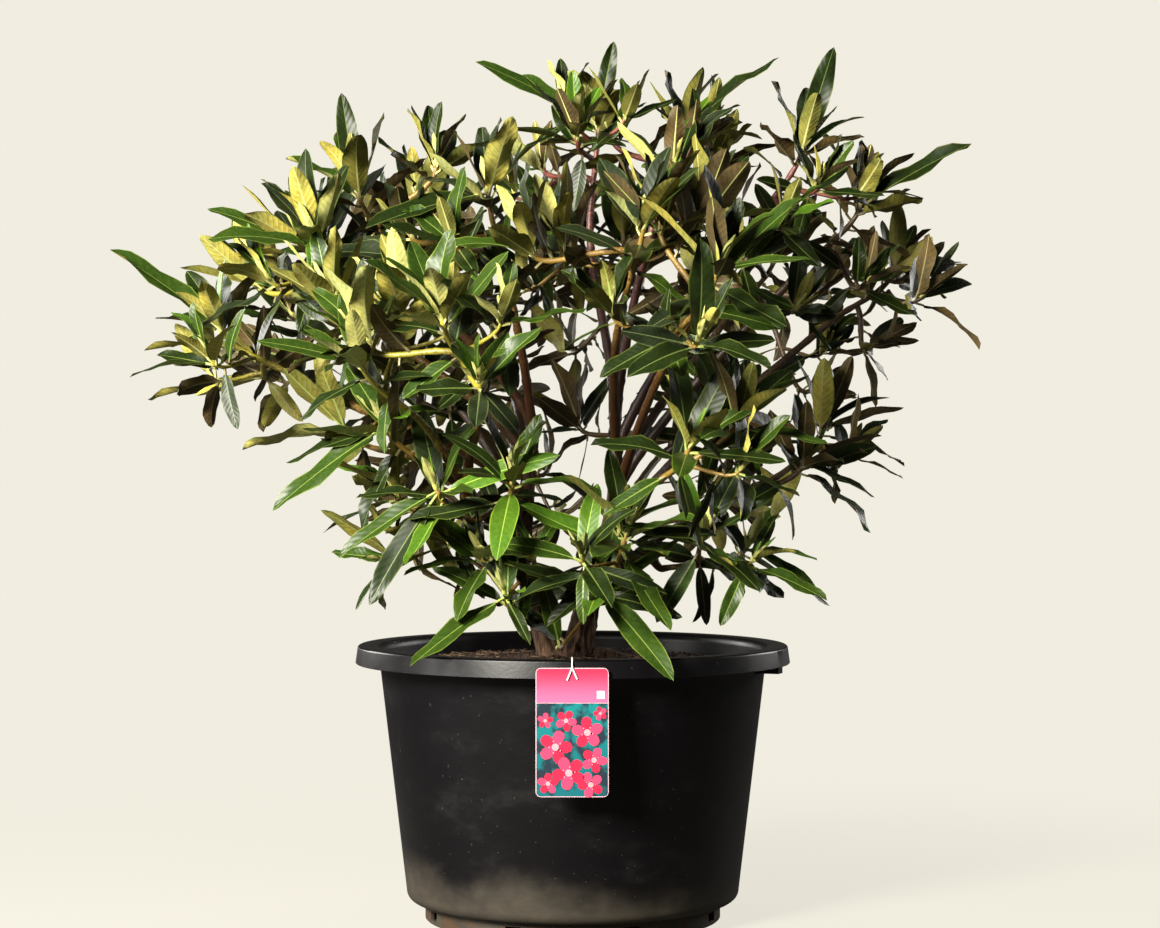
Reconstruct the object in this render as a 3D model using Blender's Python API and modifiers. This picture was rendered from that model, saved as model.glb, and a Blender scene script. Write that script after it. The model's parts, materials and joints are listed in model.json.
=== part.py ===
"""A rhododendron in its round nursery pot, modelled sub-part by sub-part at real size, in metres.

The pot stands on z = 0 with its axis on x = y = 0, and the side with the label faces -Y.
The shrub is two stems that meet in a V at the potting mix, the boughs that leave them, and
sprays of twigs and leaves, each spray keeping to its own space around its own shoots.
"""

import math
from typing import NamedTuple

import bmesh
import bpy
import numpy as np
from mathutils import Matrix, Vector
from mathutils.bvhtree import BVHTree

OBJECT_NAME = "potted_rhododendron"
GAP = 0.0003
WELD = 0.00001
FINE_WELDS = (0.000002, 0.0000005, 0.000005)

# Nursery pot
POT_HEIGHT = 0.264
POT_SIDES = 32
WALL = 0.003
WALL_FOOT_RADIUS = 0.161
WALL_TOP_RADIUS = 0.187
WALL_FOOT_Z = 0.028
FOOT_RADIUS = 0.143
FOOT_CORNER = 0.010
FLOOR = 0.004
LIP_OUTER_RADIUS = 0.2085
SKIRT_RADIUS = 0.2105
SKIRT_Z = 0.247
LIP_INNER_CORNER = 0.008
LIP_OUTER_CORNER = 0.0025
DRAIN_COUNT = 8
DRAIN_WIDTH = 0.016
DRAIN_TOP = 0.0125
LUG_ANGLES = (-20.0, 160.0)
LUG_WIDTH = 0.014
LUG_DROP = 0.006

# Potting mix
MIX_CENTRE_Z = 0.252
MIX_EDGE_Z = 0.243
MIX_FLAT_RADIUS = 0.045

# Picture label and its tie
LABEL_WIDTH = 0.065
LABEL_HEIGHT = 0.115
LABEL_TOP_Z = 0.2575
LABEL_CORNER = 0.0045
LABEL_THICKNESS = 0.0008
LABEL_HOLE_RADIUS = 0.0019
LABEL_HOLE_DROP = 0.0105
TIE_RADIUS = 0.0007
TIE_CLEARANCE = 0.0005
TIE_SPREAD = 0.0045
TIE_INNER_DROP = 0.005
TIE_TWIST = 0.0005

# Stems: places that each axis passes through, with the radius there; both are cut flat at the ground
GROUND_Z = MIX_CENTRE_Z + GAP
TRUNK_PLACES = ((0.004, 0.0, 0.246), (0.006, 0.0, 0.262), (0.010, 0.0, 0.285), (0.017, 0.0, 0.318))
TRUNK_RADII = (0.0215, 0.0150, 0.0128, 0.0115)
LEFT_STEM_PLACES = (
    (-0.017, 0.0, 0.246),
    (-0.024, 0.0, 0.265),
    (-0.038, 0.0, 0.310),
    (-0.048, 0.005, 0.365),
    (-0.045, 0.010, 0.410),
    (-0.038, 0.020, 0.475),
)
LEFT_STEM_RADII = (0.0180, 0.0120, 0.0105, 0.0090, 0.0075, 0.0055)
CENTRE_STEM_PLACES = (
    (0.017, 0.0, 0.3185),
    (0.037, 0.008, 0.385),
    (0.042, 0.014, 0.440),
    (0.040, 0.020, 0.515),
)
CENTRE_STEM_RADII = (0.0090, 0.0075, 0.0065, 0.0050)
LEFT_LIMB_SHARE = 0.36
LEFT_LIMB_TIP = (-0.098, -0.070, 0.410)
LEFT_LIMB_RADII = (0.0062, 0.0048)
GROUND_BLOCK = 0.12
STEM_STEPS = 9
LIMB_ROUNDNESS = 1

# Boughs
BOUGH_STEPS = 6
BOUGH_FOOT_RADIUS = 0.0052
BOUGH_TIP_RADIUS = 0.0032
PARENT_PULL = 0.55
CROWN_FOCUS = Vector((-0.01, 0.0, 0.30))
LIFT_SHARE = 0.80
LEAST_LIFT = 0.25

# Sprays of twigs and leaves
GOLDEN_ANGLE = math.radians(137.508)
SPRAY_STEM = 0.085
TWIG_RADIUS = 0.0029
SHOOT_RADIUS = 0.0021
STRAIGHT_FOOT = 0.004
TWIG_STEPS = 4
SHOOT_SHARES = (0.34, 0.50, 0.66, 0.42)
SHOOT_PULL = 0.5
SIDE_SPREAD = 0.080
SPREAD_GROWTH = 0.15
SPREAD_TURN = 20.0
STEP_BACK = 0.022

# Leaves: where each leaf of a whorl stands on its shoot, how far it leans out, and its length
WHORL_LEAVES = 6
WHORL_FIRST_SHARE = 0.985
WHORL_SHARE_STEP = 0.022
WHORL_LEAN = 28.0
WHORL_LEAN_STEP = 9.0
WHORL_FIRST_SIZE = 0.82
WHORL_SIZE_STEP = 0.055
LOWER_LEAVES = 2
LOWER_FIRST_SHARE = 0.78
LOWER_SHARE_STEP = 0.13
LOWER_LEAN = 88.0
LOWER_LEAN_STEP = 8.0
LOWER_SIZE = 0.98
LEAN_JITTER = 8.0
SIZE_JITTER = (0.86, 1.16)
DROOP_TOP_Z = 0.56
DROOP_SPAN = 0.22
DROOP_MOST = math.radians(42.0)
DROOP_PULL = 0.35
SKY_PULL = 0.45
LEAF_FOLD = 4.4
LEAF_ARCH = 1.2
LEAF_LENGTH = 0.088
LEAF_WIDTH_SHARE = 0.34
LEAF_THICKNESS_SHARE = 0.018
LEAF_SINK = 0.0002
LEAF_ROOT_SHARE = 0.17
LEAF_MARGIN = (1.01, 1.05, 1.8)
LEAF_TRIES = ((0.0, 0.0), (28.0, 12.0), (-28.0, 12.0), (55.0, 24.0))
SPACE_OFFSET = 0.045


class Spray(NamedTuple):
    """One mass of leaves: where its limb leaves the parent and where its whorls stand."""

    name: str
    parent: str
    share: float
    whorls: tuple
    reach: tuple = ()
    extra: int = 0
    has_bough: bool = True


# Sprays that show from the front, from the left to the right, each led by its first whorl
FRONT_SPRAYS = (
    Spray("far_left", "left_stem", 0.78, ((-0.340, -0.02, 0.570), (-0.310, 0.05, 0.530)),
          ((-0.445, -0.03, 0.645),), 1),
    Spray("left_shoulder", "left_stem", 0.90, ((-0.265, 0.03, 0.655), (-0.320, 0.10, 0.625)),
          ((-0.360, 0.03, 0.690),), 1),
    Spray("upper_left", "left_stem", 1.0, ((-0.210, 0.00, 0.705), (-0.155, 0.06, 0.690)),
          ((-0.225, 0.00, 0.800),), 1),
    Spray("left_front", "left_limb", 0.93, ((-0.190, -0.19, 0.530), (-0.225, -0.11, 0.595)),
          ((-0.280, -0.22, 0.548),), 1),
    Spray("centre_left_front", "left_limb", 1.0, ((-0.115, -0.23, 0.568), (-0.080, -0.27, 0.510)),
          ((-0.180, -0.28, 0.615),), 1),
    Spray("left_low", "left_limb", 0.80, ((-0.175, -0.10, 0.475), (-0.225, -0.01, 0.480)),
          ((-0.280, -0.10, 0.395),)),
    Spray("left_low_inner", "left_limb", 0.60, ((-0.125, -0.13, 0.415),),
          ((-0.215, -0.14, 0.352),), 1, False),
    Spray("low_left", "left_stem", 0.24, ((-0.062, -0.13, 0.318),),
          ((-0.145, -0.20, 0.258),), 0, False),
    Spray("centre_left_top", "left_stem", 0.96, ((-0.080, -0.08, 0.695), (-0.110, -0.13, 0.645)),
          ((-0.190, -0.14, 0.655),), 1),
    Spray("top_centre", "centre_stem", 1.0, ((0.025, 0.00, 0.770), (-0.030, 0.05, 0.735)),
          ((0.040, 0.00, 0.850), (-0.095, 0.00, 0.830)), 1),
    Spray("top_right_centre", "centre_stem", 0.86, ((0.105, -0.05, 0.755), (0.140, 0.04, 0.735)),
          ((0.195, -0.08, 0.822),), 1),
    Spray("centre_front", "centre_stem", 0.62, ((0.063, -0.23, 0.650), (-0.010, -0.18, 0.635)),
          ((0.110, -0.28, 0.695),), 2),
    Spray("right_front", "centre_stem", 0.36, ((0.128, -0.25, 0.610), (0.085, -0.24, 0.550)),
          ((0.205, -0.29, 0.615),), 1),
    Spray("right_top", "centre_stem", 0.72, ((0.220, -0.04, 0.740), (0.195, -0.13, 0.665)),
          ((0.250, -0.04, 0.838),), 1),
    Spray("right_upper", "centre_stem", 0.48, ((0.280, 0.00, 0.690), (0.275, -0.10, 0.610)),
          ((0.385, -0.02, 0.748),), 1),
    Spray("far_right", "centre_stem", 0.22, ((0.325, 0.09, 0.635), (0.295, 0.08, 0.555)),
          ((0.388, 0.06, 0.640),), 1),
    Spray("right_middle", "trunk", 0.88, ((0.215, -0.12, 0.440), (0.245, -0.02, 0.480)),
          ((0.280, -0.12, 0.408),), 1),
    Spray("right_low_front", "trunk", 0.97, ((0.105, -0.20, 0.455), (0.150, -0.19, 0.480)),
          ((0.175, -0.21, 0.500),)),
    Spray("right_low", "bough_right_middle", 0.45, ((0.165, -0.06, 0.360), (0.120, -0.13, 0.370)),
          ((0.230, -0.08, 0.322),)),
    Spray("low_centre", "trunk", 0.70, ((0.025, -0.13, 0.322),),
          ((0.090, -0.222, 0.247),), 0, False),
)

# Sprays round the back, in two rings: places by angle from +X, on an ellipse about BACK_CENTRE
BACK_CENTRE = (-0.02, 0.0)
BACK_RINGS = (
    ("back_high", (36.0, 70.0, 108.0, 144.0), (0.285, 0.300), 0.655, 3,
     (("centre_stem", 0.54), ("centre_stem", 0.80), ("left_stem", 0.84), ("left_stem", 0.70))),
    ("back_low", (52.0, 126.0), (0.240, 0.250), 0.490, 4,
     (("centre_stem", 0.12), ("left_stem", 0.52))),
)

BARK = (0.105, 0.062, 0.040)
LEAF_GREEN = (0.060, 0.110, 0.022)


def clear_scene():
    """Remove every object that is already in the file."""
    for existing in list(bpy.data.objects):
        bpy.data.objects.remove(existing, do_unlink=True)


def make_collection(name):
    """New collection, linked to the scene."""
    collection = bpy.data.collections.new(name)
    bpy.context.scene.collection.children.link(collection)
    return collection


def make_material(name, colour, roughness, metallic=0.0):
    """Plain surface with one colour."""
    material = bpy.data.materials.new(name)
    material.use_nodes = True
    shader = material.node_tree.nodes["Principled BSDF"]
    shader.inputs["Base Color"].default_value = (*colour, 1.0)
    shader.inputs["Roughness"].default_value = roughness
    shader.inputs["Metallic"].default_value = metallic
    return material


def add_mesh_object(name, mesh, collection, material=None):
    """Object that holds the mesh, linked to the collection."""
    holder = bpy.data.objects.new(name, mesh)
    if material is not None:
        mesh.materials.clear()
        mesh.materials.append(material)
    collection.objects.link(holder)
    return holder


def hide_guide(guide):
    """Mark a cutter or a guide, which is not a part of the model."""
    guide.hide_render = True
    guide.display_type = "WIRE"


def weld(mesh, distance=WELD):
    """Merge the doubled points of a mesh and make its faces point outwards."""
    cage = bmesh.new()
    cage.from_mesh(mesh)
    bmesh.ops.remove_doubles(cage, verts=cage.verts, dist=distance)
    bmesh.ops.recalc_face_normals(cage, faces=cage.faces)
    cage.to_mesh(mesh)
    cage.free()


def evaluated_mesh(source, distance=WELD):
    """The mesh that an object's curve or modifiers make, with doubled points merged."""
    bpy.context.view_layer.update()
    depsgraph = bpy.context.evaluated_depsgraph_get()
    mesh = bpy.data.meshes.new_from_object(source.evaluated_get(depsgraph))
    weld(mesh, distance)
    return mesh


def bake(source, name, collection, material=None):
    """Replace an object by the mesh that its curve or modifiers make."""
    mesh = evaluated_mesh(source)
    matrix = source.matrix_world.copy()
    bpy.data.objects.remove(source, do_unlink=True)
    baked = add_mesh_object(name, mesh, collection, material)
    baked.matrix_world = matrix
    return baked


def smooth_round(holder, angle=40.0):
    """Shade round pieces smooth and keep their real edges sharp."""
    holder.data.shade_smooth()
    holder.data.set_sharp_from_angle(angle=math.radians(angle))


def keep_largest_body(mesh):
    """Delete the faces of every body of a mesh but the one with the longest diagonal."""
    cage = bmesh.new()
    cage.from_mesh(mesh)
    unseen = set(cage.faces)
    bodies = []
    while unseen:
        body = [unseen.pop()]
        for face in body:
            for edge in face.edges:
                for other in edge.link_faces:
                    if other in unseen:
                        unseen.remove(other)
                        body.append(other)
        bodies.append(body)
    bodies.sort(key=body_diagonal)
    scrap = [face for body in bodies[:-1] for face in body]
    bmesh.ops.delete(cage, geom=scrap, context="FACES")
    cage.to_mesh(mesh)
    cage.free()


def body_diagonal(faces):
    """Diagonal of the box round a list of faces."""
    places = np.array([vertex.co for face in faces for vertex in face.verts])
    return float(np.linalg.norm(places.max(axis=0) - places.min(axis=0)))


def arc(centre, radius, start, end, count):
    """Points (x, z) of an arc from one angle to another, in degrees from +X."""
    angles = np.radians(np.linspace(start, end, count))
    return [(centre[0] + radius * math.cos(a), centre[1] + radius * math.sin(a)) for a in angles]


def turned_object(name, profile, sides, collection, material):
    """Turn a profile of (radius, z) points, listed from its top down, about the Z axis."""
    mesh = bpy.data.meshes.new(name)
    points = [(radius, 0.0, z) for radius, z in profile]
    mesh.from_pydata(points, [(i, i + 1) for i in range(len(points) - 1)], [])
    turned = add_mesh_object(name, mesh, collection)
    screw = turned.modifiers.new("turn", "SCREW")
    screw.steps = sides
    screw.render_steps = sides
    screw.use_merge_vertices = True
    screw.merge_threshold = WELD
    screw.use_smooth_shade = False
    return bake(turned, name, collection, material)


def tube_object(name, places, radii, collection, triangle=None, material=None):
    """Tapering tube along a path, round, or three-sided where a triangle is its profile."""
    curve = bpy.data.curves.new(name, "CURVE")
    curve.dimensions = "3D"
    curve.use_fill_caps = True
    if triangle is None:
        curve.bevel_depth = 1.0
        curve.bevel_resolution = LIMB_ROUNDNESS
    else:
        curve.bevel_mode = "OBJECT"
        curve.bevel_object = triangle
    spline = curve.splines.new("POLY")
    spline.points.add(len(places) - 1)
    for point, place, radius in zip(spline.points, places, radii):
        point.co = (*place, 1.0)
        point.radius = radius
    holder = bpy.data.objects.new(name, curve)
    collection.objects.link(holder)
    return bake(holder, name, collection, material)


def boolean_with(target, cutter, operation, collection, material):
    """Cut a mesh object by another object, or join them, and keep the result as its mesh."""
    name = target.name
    modifier = target.modifiers.new(operation.lower(), "BOOLEAN")
    modifier.operation = operation
    modifier.object = cutter
    modifier.solver = "EXACT"
    return bake(target, name, collection, material)


def wall_radius(z):
    """Outer radius of the pot's tapering wall at a height."""
    share = (z - WALL_FOOT_Z) / (SKIRT_Z - WALL_FOOT_Z)
    return WALL_FOOT_RADIUS + share * (WALL_TOP_RADIUS - WALL_FOOT_RADIUS)


def inner_foot(clearance):
    """Profile of the pot's inside from the wall's foot down to the floor, drawn in by a clearance."""
    centre = (WALL_FOOT_RADIUS - FOOT_CORNER, WALL_FOOT_Z)
    ring = FOOT_RADIUS - WALL - clearance
    return [
        *arc(centre, FOOT_CORNER - WALL - clearance, 0.0, -90.0, 3),
        (ring, WALL_FOOT_Z - FOOT_CORNER + WALL + clearance),
        (ring, FLOOR + clearance),
        (0.0, FLOOR + clearance),
    ]


def make_pot(parts, cutters):
    """Round container with an inverted-U lip, a stepped foot with drain slots, and two grip lugs."""
    plastic = make_material("pot_plastic", (0.012, 0.011, 0.012), 0.38)
    top_z = POT_HEIGHT
    inner_corner = (wall_radius(SKIRT_Z) - WALL + LIP_INNER_CORNER, top_z - LIP_INNER_CORNER)
    outer_corner = (LIP_OUTER_RADIUS - LIP_OUTER_CORNER, top_z - LIP_OUTER_CORNER)
    foot_centre = (WALL_FOOT_RADIUS - FOOT_CORNER, WALL_FOOT_Z)
    profile = [
        *reversed(inner_foot(0.0)),
        (wall_radius(SKIRT_Z) - WALL, SKIRT_Z),
        *arc(inner_corner, LIP_INNER_CORNER, 180.0, 90.0, 3),
        *arc(outer_corner, LIP_OUTER_CORNER, 90.0, 0.0, 3),
        (SKIRT_RADIUS, SKIRT_Z),
        (SKIRT_RADIUS - WALL, SKIRT_Z),
        (LIP_OUTER_RADIUS - WALL, top_z - WALL),
        (wall_radius(SKIRT_Z) + LIP_INNER_CORNER, top_z - WALL),
        (wall_radius(SKIRT_Z), SKIRT_Z),
        *arc(foot_centre, FOOT_CORNER, 0.0, -90.0, 3),
        (FOOT_RADIUS, WALL_FOOT_Z - FOOT_CORNER),
        (FOOT_RADIUS, 0.0),
        (0.0, 0.0),
    ]
    pot = turned_object("pot", profile, POT_SIDES, parts, plastic)
    for angle in LUG_ANGLES:
        lug = make_lug(angle, cutters)
        pot = boolean_with(pot, lug, "UNION", parts, plastic)
        bpy.data.objects.remove(lug, do_unlink=True)
    drains = make_drain_cutter(cutters)
    pot = boolean_with(pot, drains, "DIFFERENCE", parts, plastic)
    bpy.data.objects.remove(drains, do_unlink=True)
    smooth_round(pot)
    return pot


def box_object(name, size, collection):
    """Box centred on the origin, with its size in its mesh."""
    bpy.ops.mesh.primitive_cube_add(size=1.0)
    box = bpy.context.object
    box.name = name
    box.data.transform(Matrix.Diagonal((*size, 1.0)))
    for owner in list(box.users_collection):
        owner.objects.unlink(box)
    collection.objects.link(box)
    return box


def make_lug(angle, collection):
    """Grip lug under the lip, from the wall out into the skirt."""
    inner = WALL_TOP_RADIUS - WALL * 0.5
    outer = SKIRT_RADIUS - WALL * 0.5
    bottom = SKIRT_Z - LUG_DROP
    top = POT_HEIGHT - WALL * 0.5
    lug = box_object("lug", (outer - inner, LUG_WIDTH, top - bottom), collection)
    place = Matrix.Translation(((inner + outer) / 2, 0.0, (top + bottom) / 2))
    lug.data.transform(Matrix.Rotation(math.radians(angle), 4, "Z") @ place)
    return lug


def make_drain_cutter(collection):
    """Ring of boxes that cut drain slots through the foot."""
    depth = WALL * 4
    mesh = bpy.data.meshes.new("drains")
    cage = bmesh.new()
    for index in range(DRAIN_COUNT):
        turn = Matrix.Rotation(2 * math.pi * (index + 0.5) / DRAIN_COUNT, 4, "Z")
        place = Matrix.Translation((FOOT_RADIUS - WALL * 0.5, 0.0, (FLOOR + DRAIN_TOP) / 2))
        size = Matrix.Diagonal((depth, DRAIN_WIDTH, DRAIN_TOP - FLOOR - GAP, 1.0))
        bmesh.ops.create_cube(cage, size=1.0, matrix=turn @ place @ size)
    cage.to_mesh(mesh)
    cage.free()
    drains = add_mesh_object("drains", mesh, collection)
    hide_guide(drains)
    return drains


def make_potting_mix(parts):
    """Body of potting mix that fills the pot, mounded slightly and flat where the stems stand."""
    soil = make_material("potting_mix", (0.040, 0.024, 0.015), 0.95)
    edge_radius = wall_radius(MIX_EDGE_Z) - WALL - GAP
    mound = [(MIX_FLAT_RADIUS, MIX_CENTRE_Z)]
    for share in (0.4, 0.75):
        radius = MIX_FLAT_RADIUS + share * (edge_radius - MIX_FLAT_RADIUS)
        mound.append((radius, MIX_CENTRE_Z - (MIX_CENTRE_Z - MIX_EDGE_Z) * share**2))
    profile = [(0.0, MIX_CENTRE_Z), *mound, (edge_radius, MIX_EDGE_Z), *inner_foot(GAP)]
    return turned_object("potting_mix", profile, POT_SIDES, parts, soil)


def make_label(parts, cutters):
    """Flat picture label that hangs against the front of the rim, with a hole for its tie."""
    print_face = make_material("label_face", (0.72, 0.10, 0.25), 0.35)
    curve = bpy.data.curves.new("plant_label", "CURVE")
    curve.dimensions = "2D"
    curve.fill_mode = "BOTH"
    curve.extrude = LABEL_THICKNESS / 2
    half_width = LABEL_WIDTH / 2 - LABEL_CORNER
    half_height = LABEL_HEIGHT / 2 - LABEL_CORNER
    outline = [
        *arc((half_width, half_height), LABEL_CORNER, 0.0, 90.0, 4),
        *arc((-half_width, half_height), LABEL_CORNER, 90.0, 180.0, 4),
        *arc((-half_width, -half_height), LABEL_CORNER, 180.0, 270.0, 4),
        *arc((half_width, -half_height), LABEL_CORNER, 270.0, 360.0, 4),
    ]
    hole_y = LABEL_HEIGHT / 2 - LABEL_HOLE_DROP
    hole = arc((0.0, hole_y), LABEL_HOLE_RADIUS, 360.0, 36.0, 10)
    for ring in (outline, hole):
        spline = curve.splines.new("POLY")
        spline.use_cyclic_u = True
        spline.points.add(len(ring) - 1)
        for point, (x, y) in zip(spline.points, ring):
            point.co = (x, y, 0.0, 1.0)
    holder = bpy.data.objects.new("plant_label", curve)
    holder.rotation_euler = (math.radians(90.0), 0.0, 0.0)
    holder.location = (0.0, label_plane(), LABEL_TOP_Z - LABEL_HEIGHT / 2)
    cutters.objects.link(holder)
    return bake(holder, "plant_label", parts, print_face)


def label_plane():
    """Y of the label's middle plane, just in front of the skirt."""
    return -(SKIRT_RADIUS + GAP + LABEL_THICKNESS / 2)


def make_label_tie(parts, cutters):
    """Wire hook over the lip that ends in two legs against the label's face."""
    white = make_material("tie_white", (0.80, 0.78, 0.76), 0.45)
    stand_off = TIE_RADIUS + TIE_CLEARANCE
    inner_corner = (wall_radius(SKIRT_Z) - WALL + LIP_INNER_CORNER, POT_HEIGHT - LIP_INNER_CORNER)
    outer_corner = (LIP_OUTER_RADIUS - LIP_OUTER_CORNER, POT_HEIGHT - LIP_OUTER_CORNER)
    front_y = label_plane() - LABEL_THICKNESS / 2 - stand_off
    over_lip = [
        (inner_corner[0] - LIP_INNER_CORNER - stand_off, inner_corner[1] - TIE_INNER_DROP),
        *arc(inner_corner, LIP_INNER_CORNER + stand_off, 180.0, 90.0, 6),
        *arc(outer_corner, LIP_OUTER_CORNER + stand_off, 90.0, 15.0, 5),
    ]
    hook = [(0.0, -radius, z) for radius, z in over_lip]
    apex = (0.0, front_y, LABEL_TOP_Z + TIE_TWIST)
    hook.append(apex)
    hole_z = LABEL_TOP_Z - LABEL_HOLE_DROP
    tie = tube_object("label_tie", hook, [TIE_RADIUS] * len(hook), parts)
    for side in (-1, 1):
        leg_end = (side * TIE_SPREAD, front_y, hole_z + side * TIE_TWIST)
        above = (-side * TIE_TWIST, front_y, apex[2] + 2 * TIE_TWIST)
        leg = tube_object("leg", (above, leg_end), (TIE_RADIUS, TIE_RADIUS), cutters)
        tie = boolean_with(tie, leg, "UNION", parts, white)
        bpy.data.objects.remove(leg, do_unlink=True)
    keep_largest_body(tie.data)
    return tie


def smooth_places(places, radii, steps):
    """Places and radii along a Catmull-Rom curve through the given ones."""
    knots = np.column_stack([np.array(places, dtype=float), radii])
    before = 2 * knots[0] - knots[1]
    after = 2 * knots[-1] - knots[-2]
    knots = np.vstack([before, knots, after])
    spans = len(places) - 1
    rows = []
    for share in np.linspace(0.0, spans, steps):
        span = min(int(share), spans - 1)
        t = share - span
        a, b, c, d = knots[span:span + 4]
        rows.append(0.5 * (2 * b + (c - a) * t + (2 * a - 5 * b + 4 * c - d) * t**2
                           + (3 * b - a - 3 * c + d) * t**3))
    rows = np.array(rows)
    return rows[:, :3], rows[:, 3]


def bent_places(start, start_heading, end, end_heading, steps, pull=0.9):
    """Places along a Hermite curve that leaves along one heading and arrives along another."""
    span = (Vector(end) - Vector(start)).length * pull
    t = np.linspace(0.0, 1.0, steps)[:, None]
    leave = np.array(start_heading) * span
    arrive = np.array(end_heading) * span
    return ((2 * t**3 - 3 * t**2 + 1) * np.array(start) + (t**3 - 2 * t**2 + t) * leave
            + (3 * t**2 - 2 * t**3) * np.array(end) + (t**3 - t**2) * arrive)


def sample_path(places, share):
    """Place and heading at a share of a path's steps."""
    position = share * (len(places) - 1)
    step = min(int(position), len(places) - 2)
    start, end = Vector(places[step]), Vector(places[step + 1])
    return start.lerp(end, position - step), (end - start).normalized()


def crown_heading(place):
    """Direction in which a shoot at a place grows: away from the crown's focus and upwards."""
    away = Vector(place) - CROWN_FOCUS
    level = Vector((away.x, away.y, 0.0)).length
    return Vector((away.x, away.y, max(away.z * LIFT_SHARE, LEAST_LIFT * level))).normalized()


def side_axes(heading):
    """Two directions square to a heading and to each other."""
    aside = heading.cross(Vector((0.0, 0.0, 1.0)))
    if aside.length < 0.1:
        aside = heading.cross(Vector((1.0, 0.0, 0.0)))
    aside.normalize()
    return aside, heading.cross(aside).normalized()


def mesh_tree(holder):
    """Search tree over the faces of a mesh object that stands at the origin."""
    places = [holder.matrix_world @ vertex.co for vertex in holder.data.vertices]
    return BVHTree.FromPolygons(places, [tuple(face.vertices) for face in holder.data.polygons])


class Limbs:
    """The stems and boughs made so far, with a copy of each that is one gap wider all round."""

    def __init__(self, parts, cutters):
        self.parts = parts
        self.cutters = cutters
        self.bark = make_material("bark", BARK, 0.85)
        self.paths = {}
        self.collars = {}
        self.trees = {}
        self.ground = box_object("ground", (GROUND_BLOCK, GROUND_BLOCK, GROUND_BLOCK), cutters)
        self.ground.data.transform(Matrix.Translation((0.0, 0.0, GROUND_Z - GROUND_BLOCK / 2)))
        hide_guide(self.ground)

    def add(self, name, places, radii):
        """Make a limb, cut it clear of the limbs that it meets, and keep its collar."""
        limb = tube_object(name, places, radii, self.parts, material=self.bark)
        collar = tube_object("collar_" + name, places, np.array(radii) + GAP, self.cutters)
        hide_guide(collar)
        if places[0][2] < GROUND_Z:
            limb = boolean_with(limb, self.ground, "DIFFERENCE", self.parts, self.bark)
        tree = mesh_tree(limb)
        for other, standing in self.collars.items():
            if tree.overlap(self.trees[other]):
                limb = boolean_with(limb, standing, "DIFFERENCE", self.parts, self.bark)
        keep_largest_body(limb.data)
        smooth_round(limb, 60.0)
        self.paths[name] = (places, radii)
        self.collars[name] = collar
        self.trees[name] = mesh_tree(collar)

    def leave(self, name, share, toward):
        """Place on a limb's axis where a new limb starts, with its first heading."""
        start, heading = sample_path(self.paths[name][0], share)
        away = (Vector(toward) - start).normalized()
        return start, (heading * PARENT_PULL + away).normalized()

    def touches(self, tree):
        """Whether a mesh cuts any limb's collar."""
        return any(tree.overlap(standing) for standing in self.trees.values())


def make_stems(limbs):
    """The trunk with its root flare, the two stems above it and the limb to the left."""
    limbs.add("trunk", *smooth_places(TRUNK_PLACES, TRUNK_RADII, STEM_STEPS))
    limbs.add("left_stem", *smooth_places(LEFT_STEM_PLACES, LEFT_STEM_RADII, STEM_STEPS))
    limbs.add("centre_stem", *smooth_places(CENTRE_STEM_PLACES, CENTRE_STEM_RADII, STEM_STEPS))
    start, heading = limbs.leave("left_stem", LEFT_LIMB_SHARE, LEFT_LIMB_TIP)
    places = bent_places(start, heading, LEFT_LIMB_TIP, crown_heading(LEFT_LIMB_TIP), BOUGH_STEPS)
    limbs.add("left_limb", places, np.linspace(*LEFT_LIMB_RADII, BOUGH_STEPS))


def back_sprays():
    """Sprays on the two rings round the back of the crown."""
    rows = []
    for ring, angles, radii, height, extra, parents in BACK_RINGS:
        for index, (angle, (parent, share)) in enumerate(zip(angles, parents)):
            turn = math.radians(angle)
            lead = (
                BACK_CENTRE[0] + radii[0] * math.cos(turn),
                BACK_CENTRE[1] + radii[1] * math.sin(turn),
                height,
            )
            rows.append(Spray(f"{ring}_{index + 1}", parent, share, (lead,), (), extra))
    return rows


def whorl_places(spray):
    """All whorls of a spray: the named ones, then the extra ones set round the first."""
    lead = Vector(spray.whorls[0])
    heading = crown_heading(lead)
    aside, across = side_axes(heading)
    places = [Vector(place) for place in spray.whorls]
    for index in range(spray.extra):
        turn = GOLDEN_ANGLE * (index + 1) + lead.x * SPREAD_TURN
        spread = SIDE_SPREAD * (1.0 + SPREAD_GROWTH * index)
        places.append(lead - heading * STEP_BACK * (index + 1)
                      + aside * math.cos(turn) * spread + across * math.sin(turn) * spread)
    return places


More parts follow.
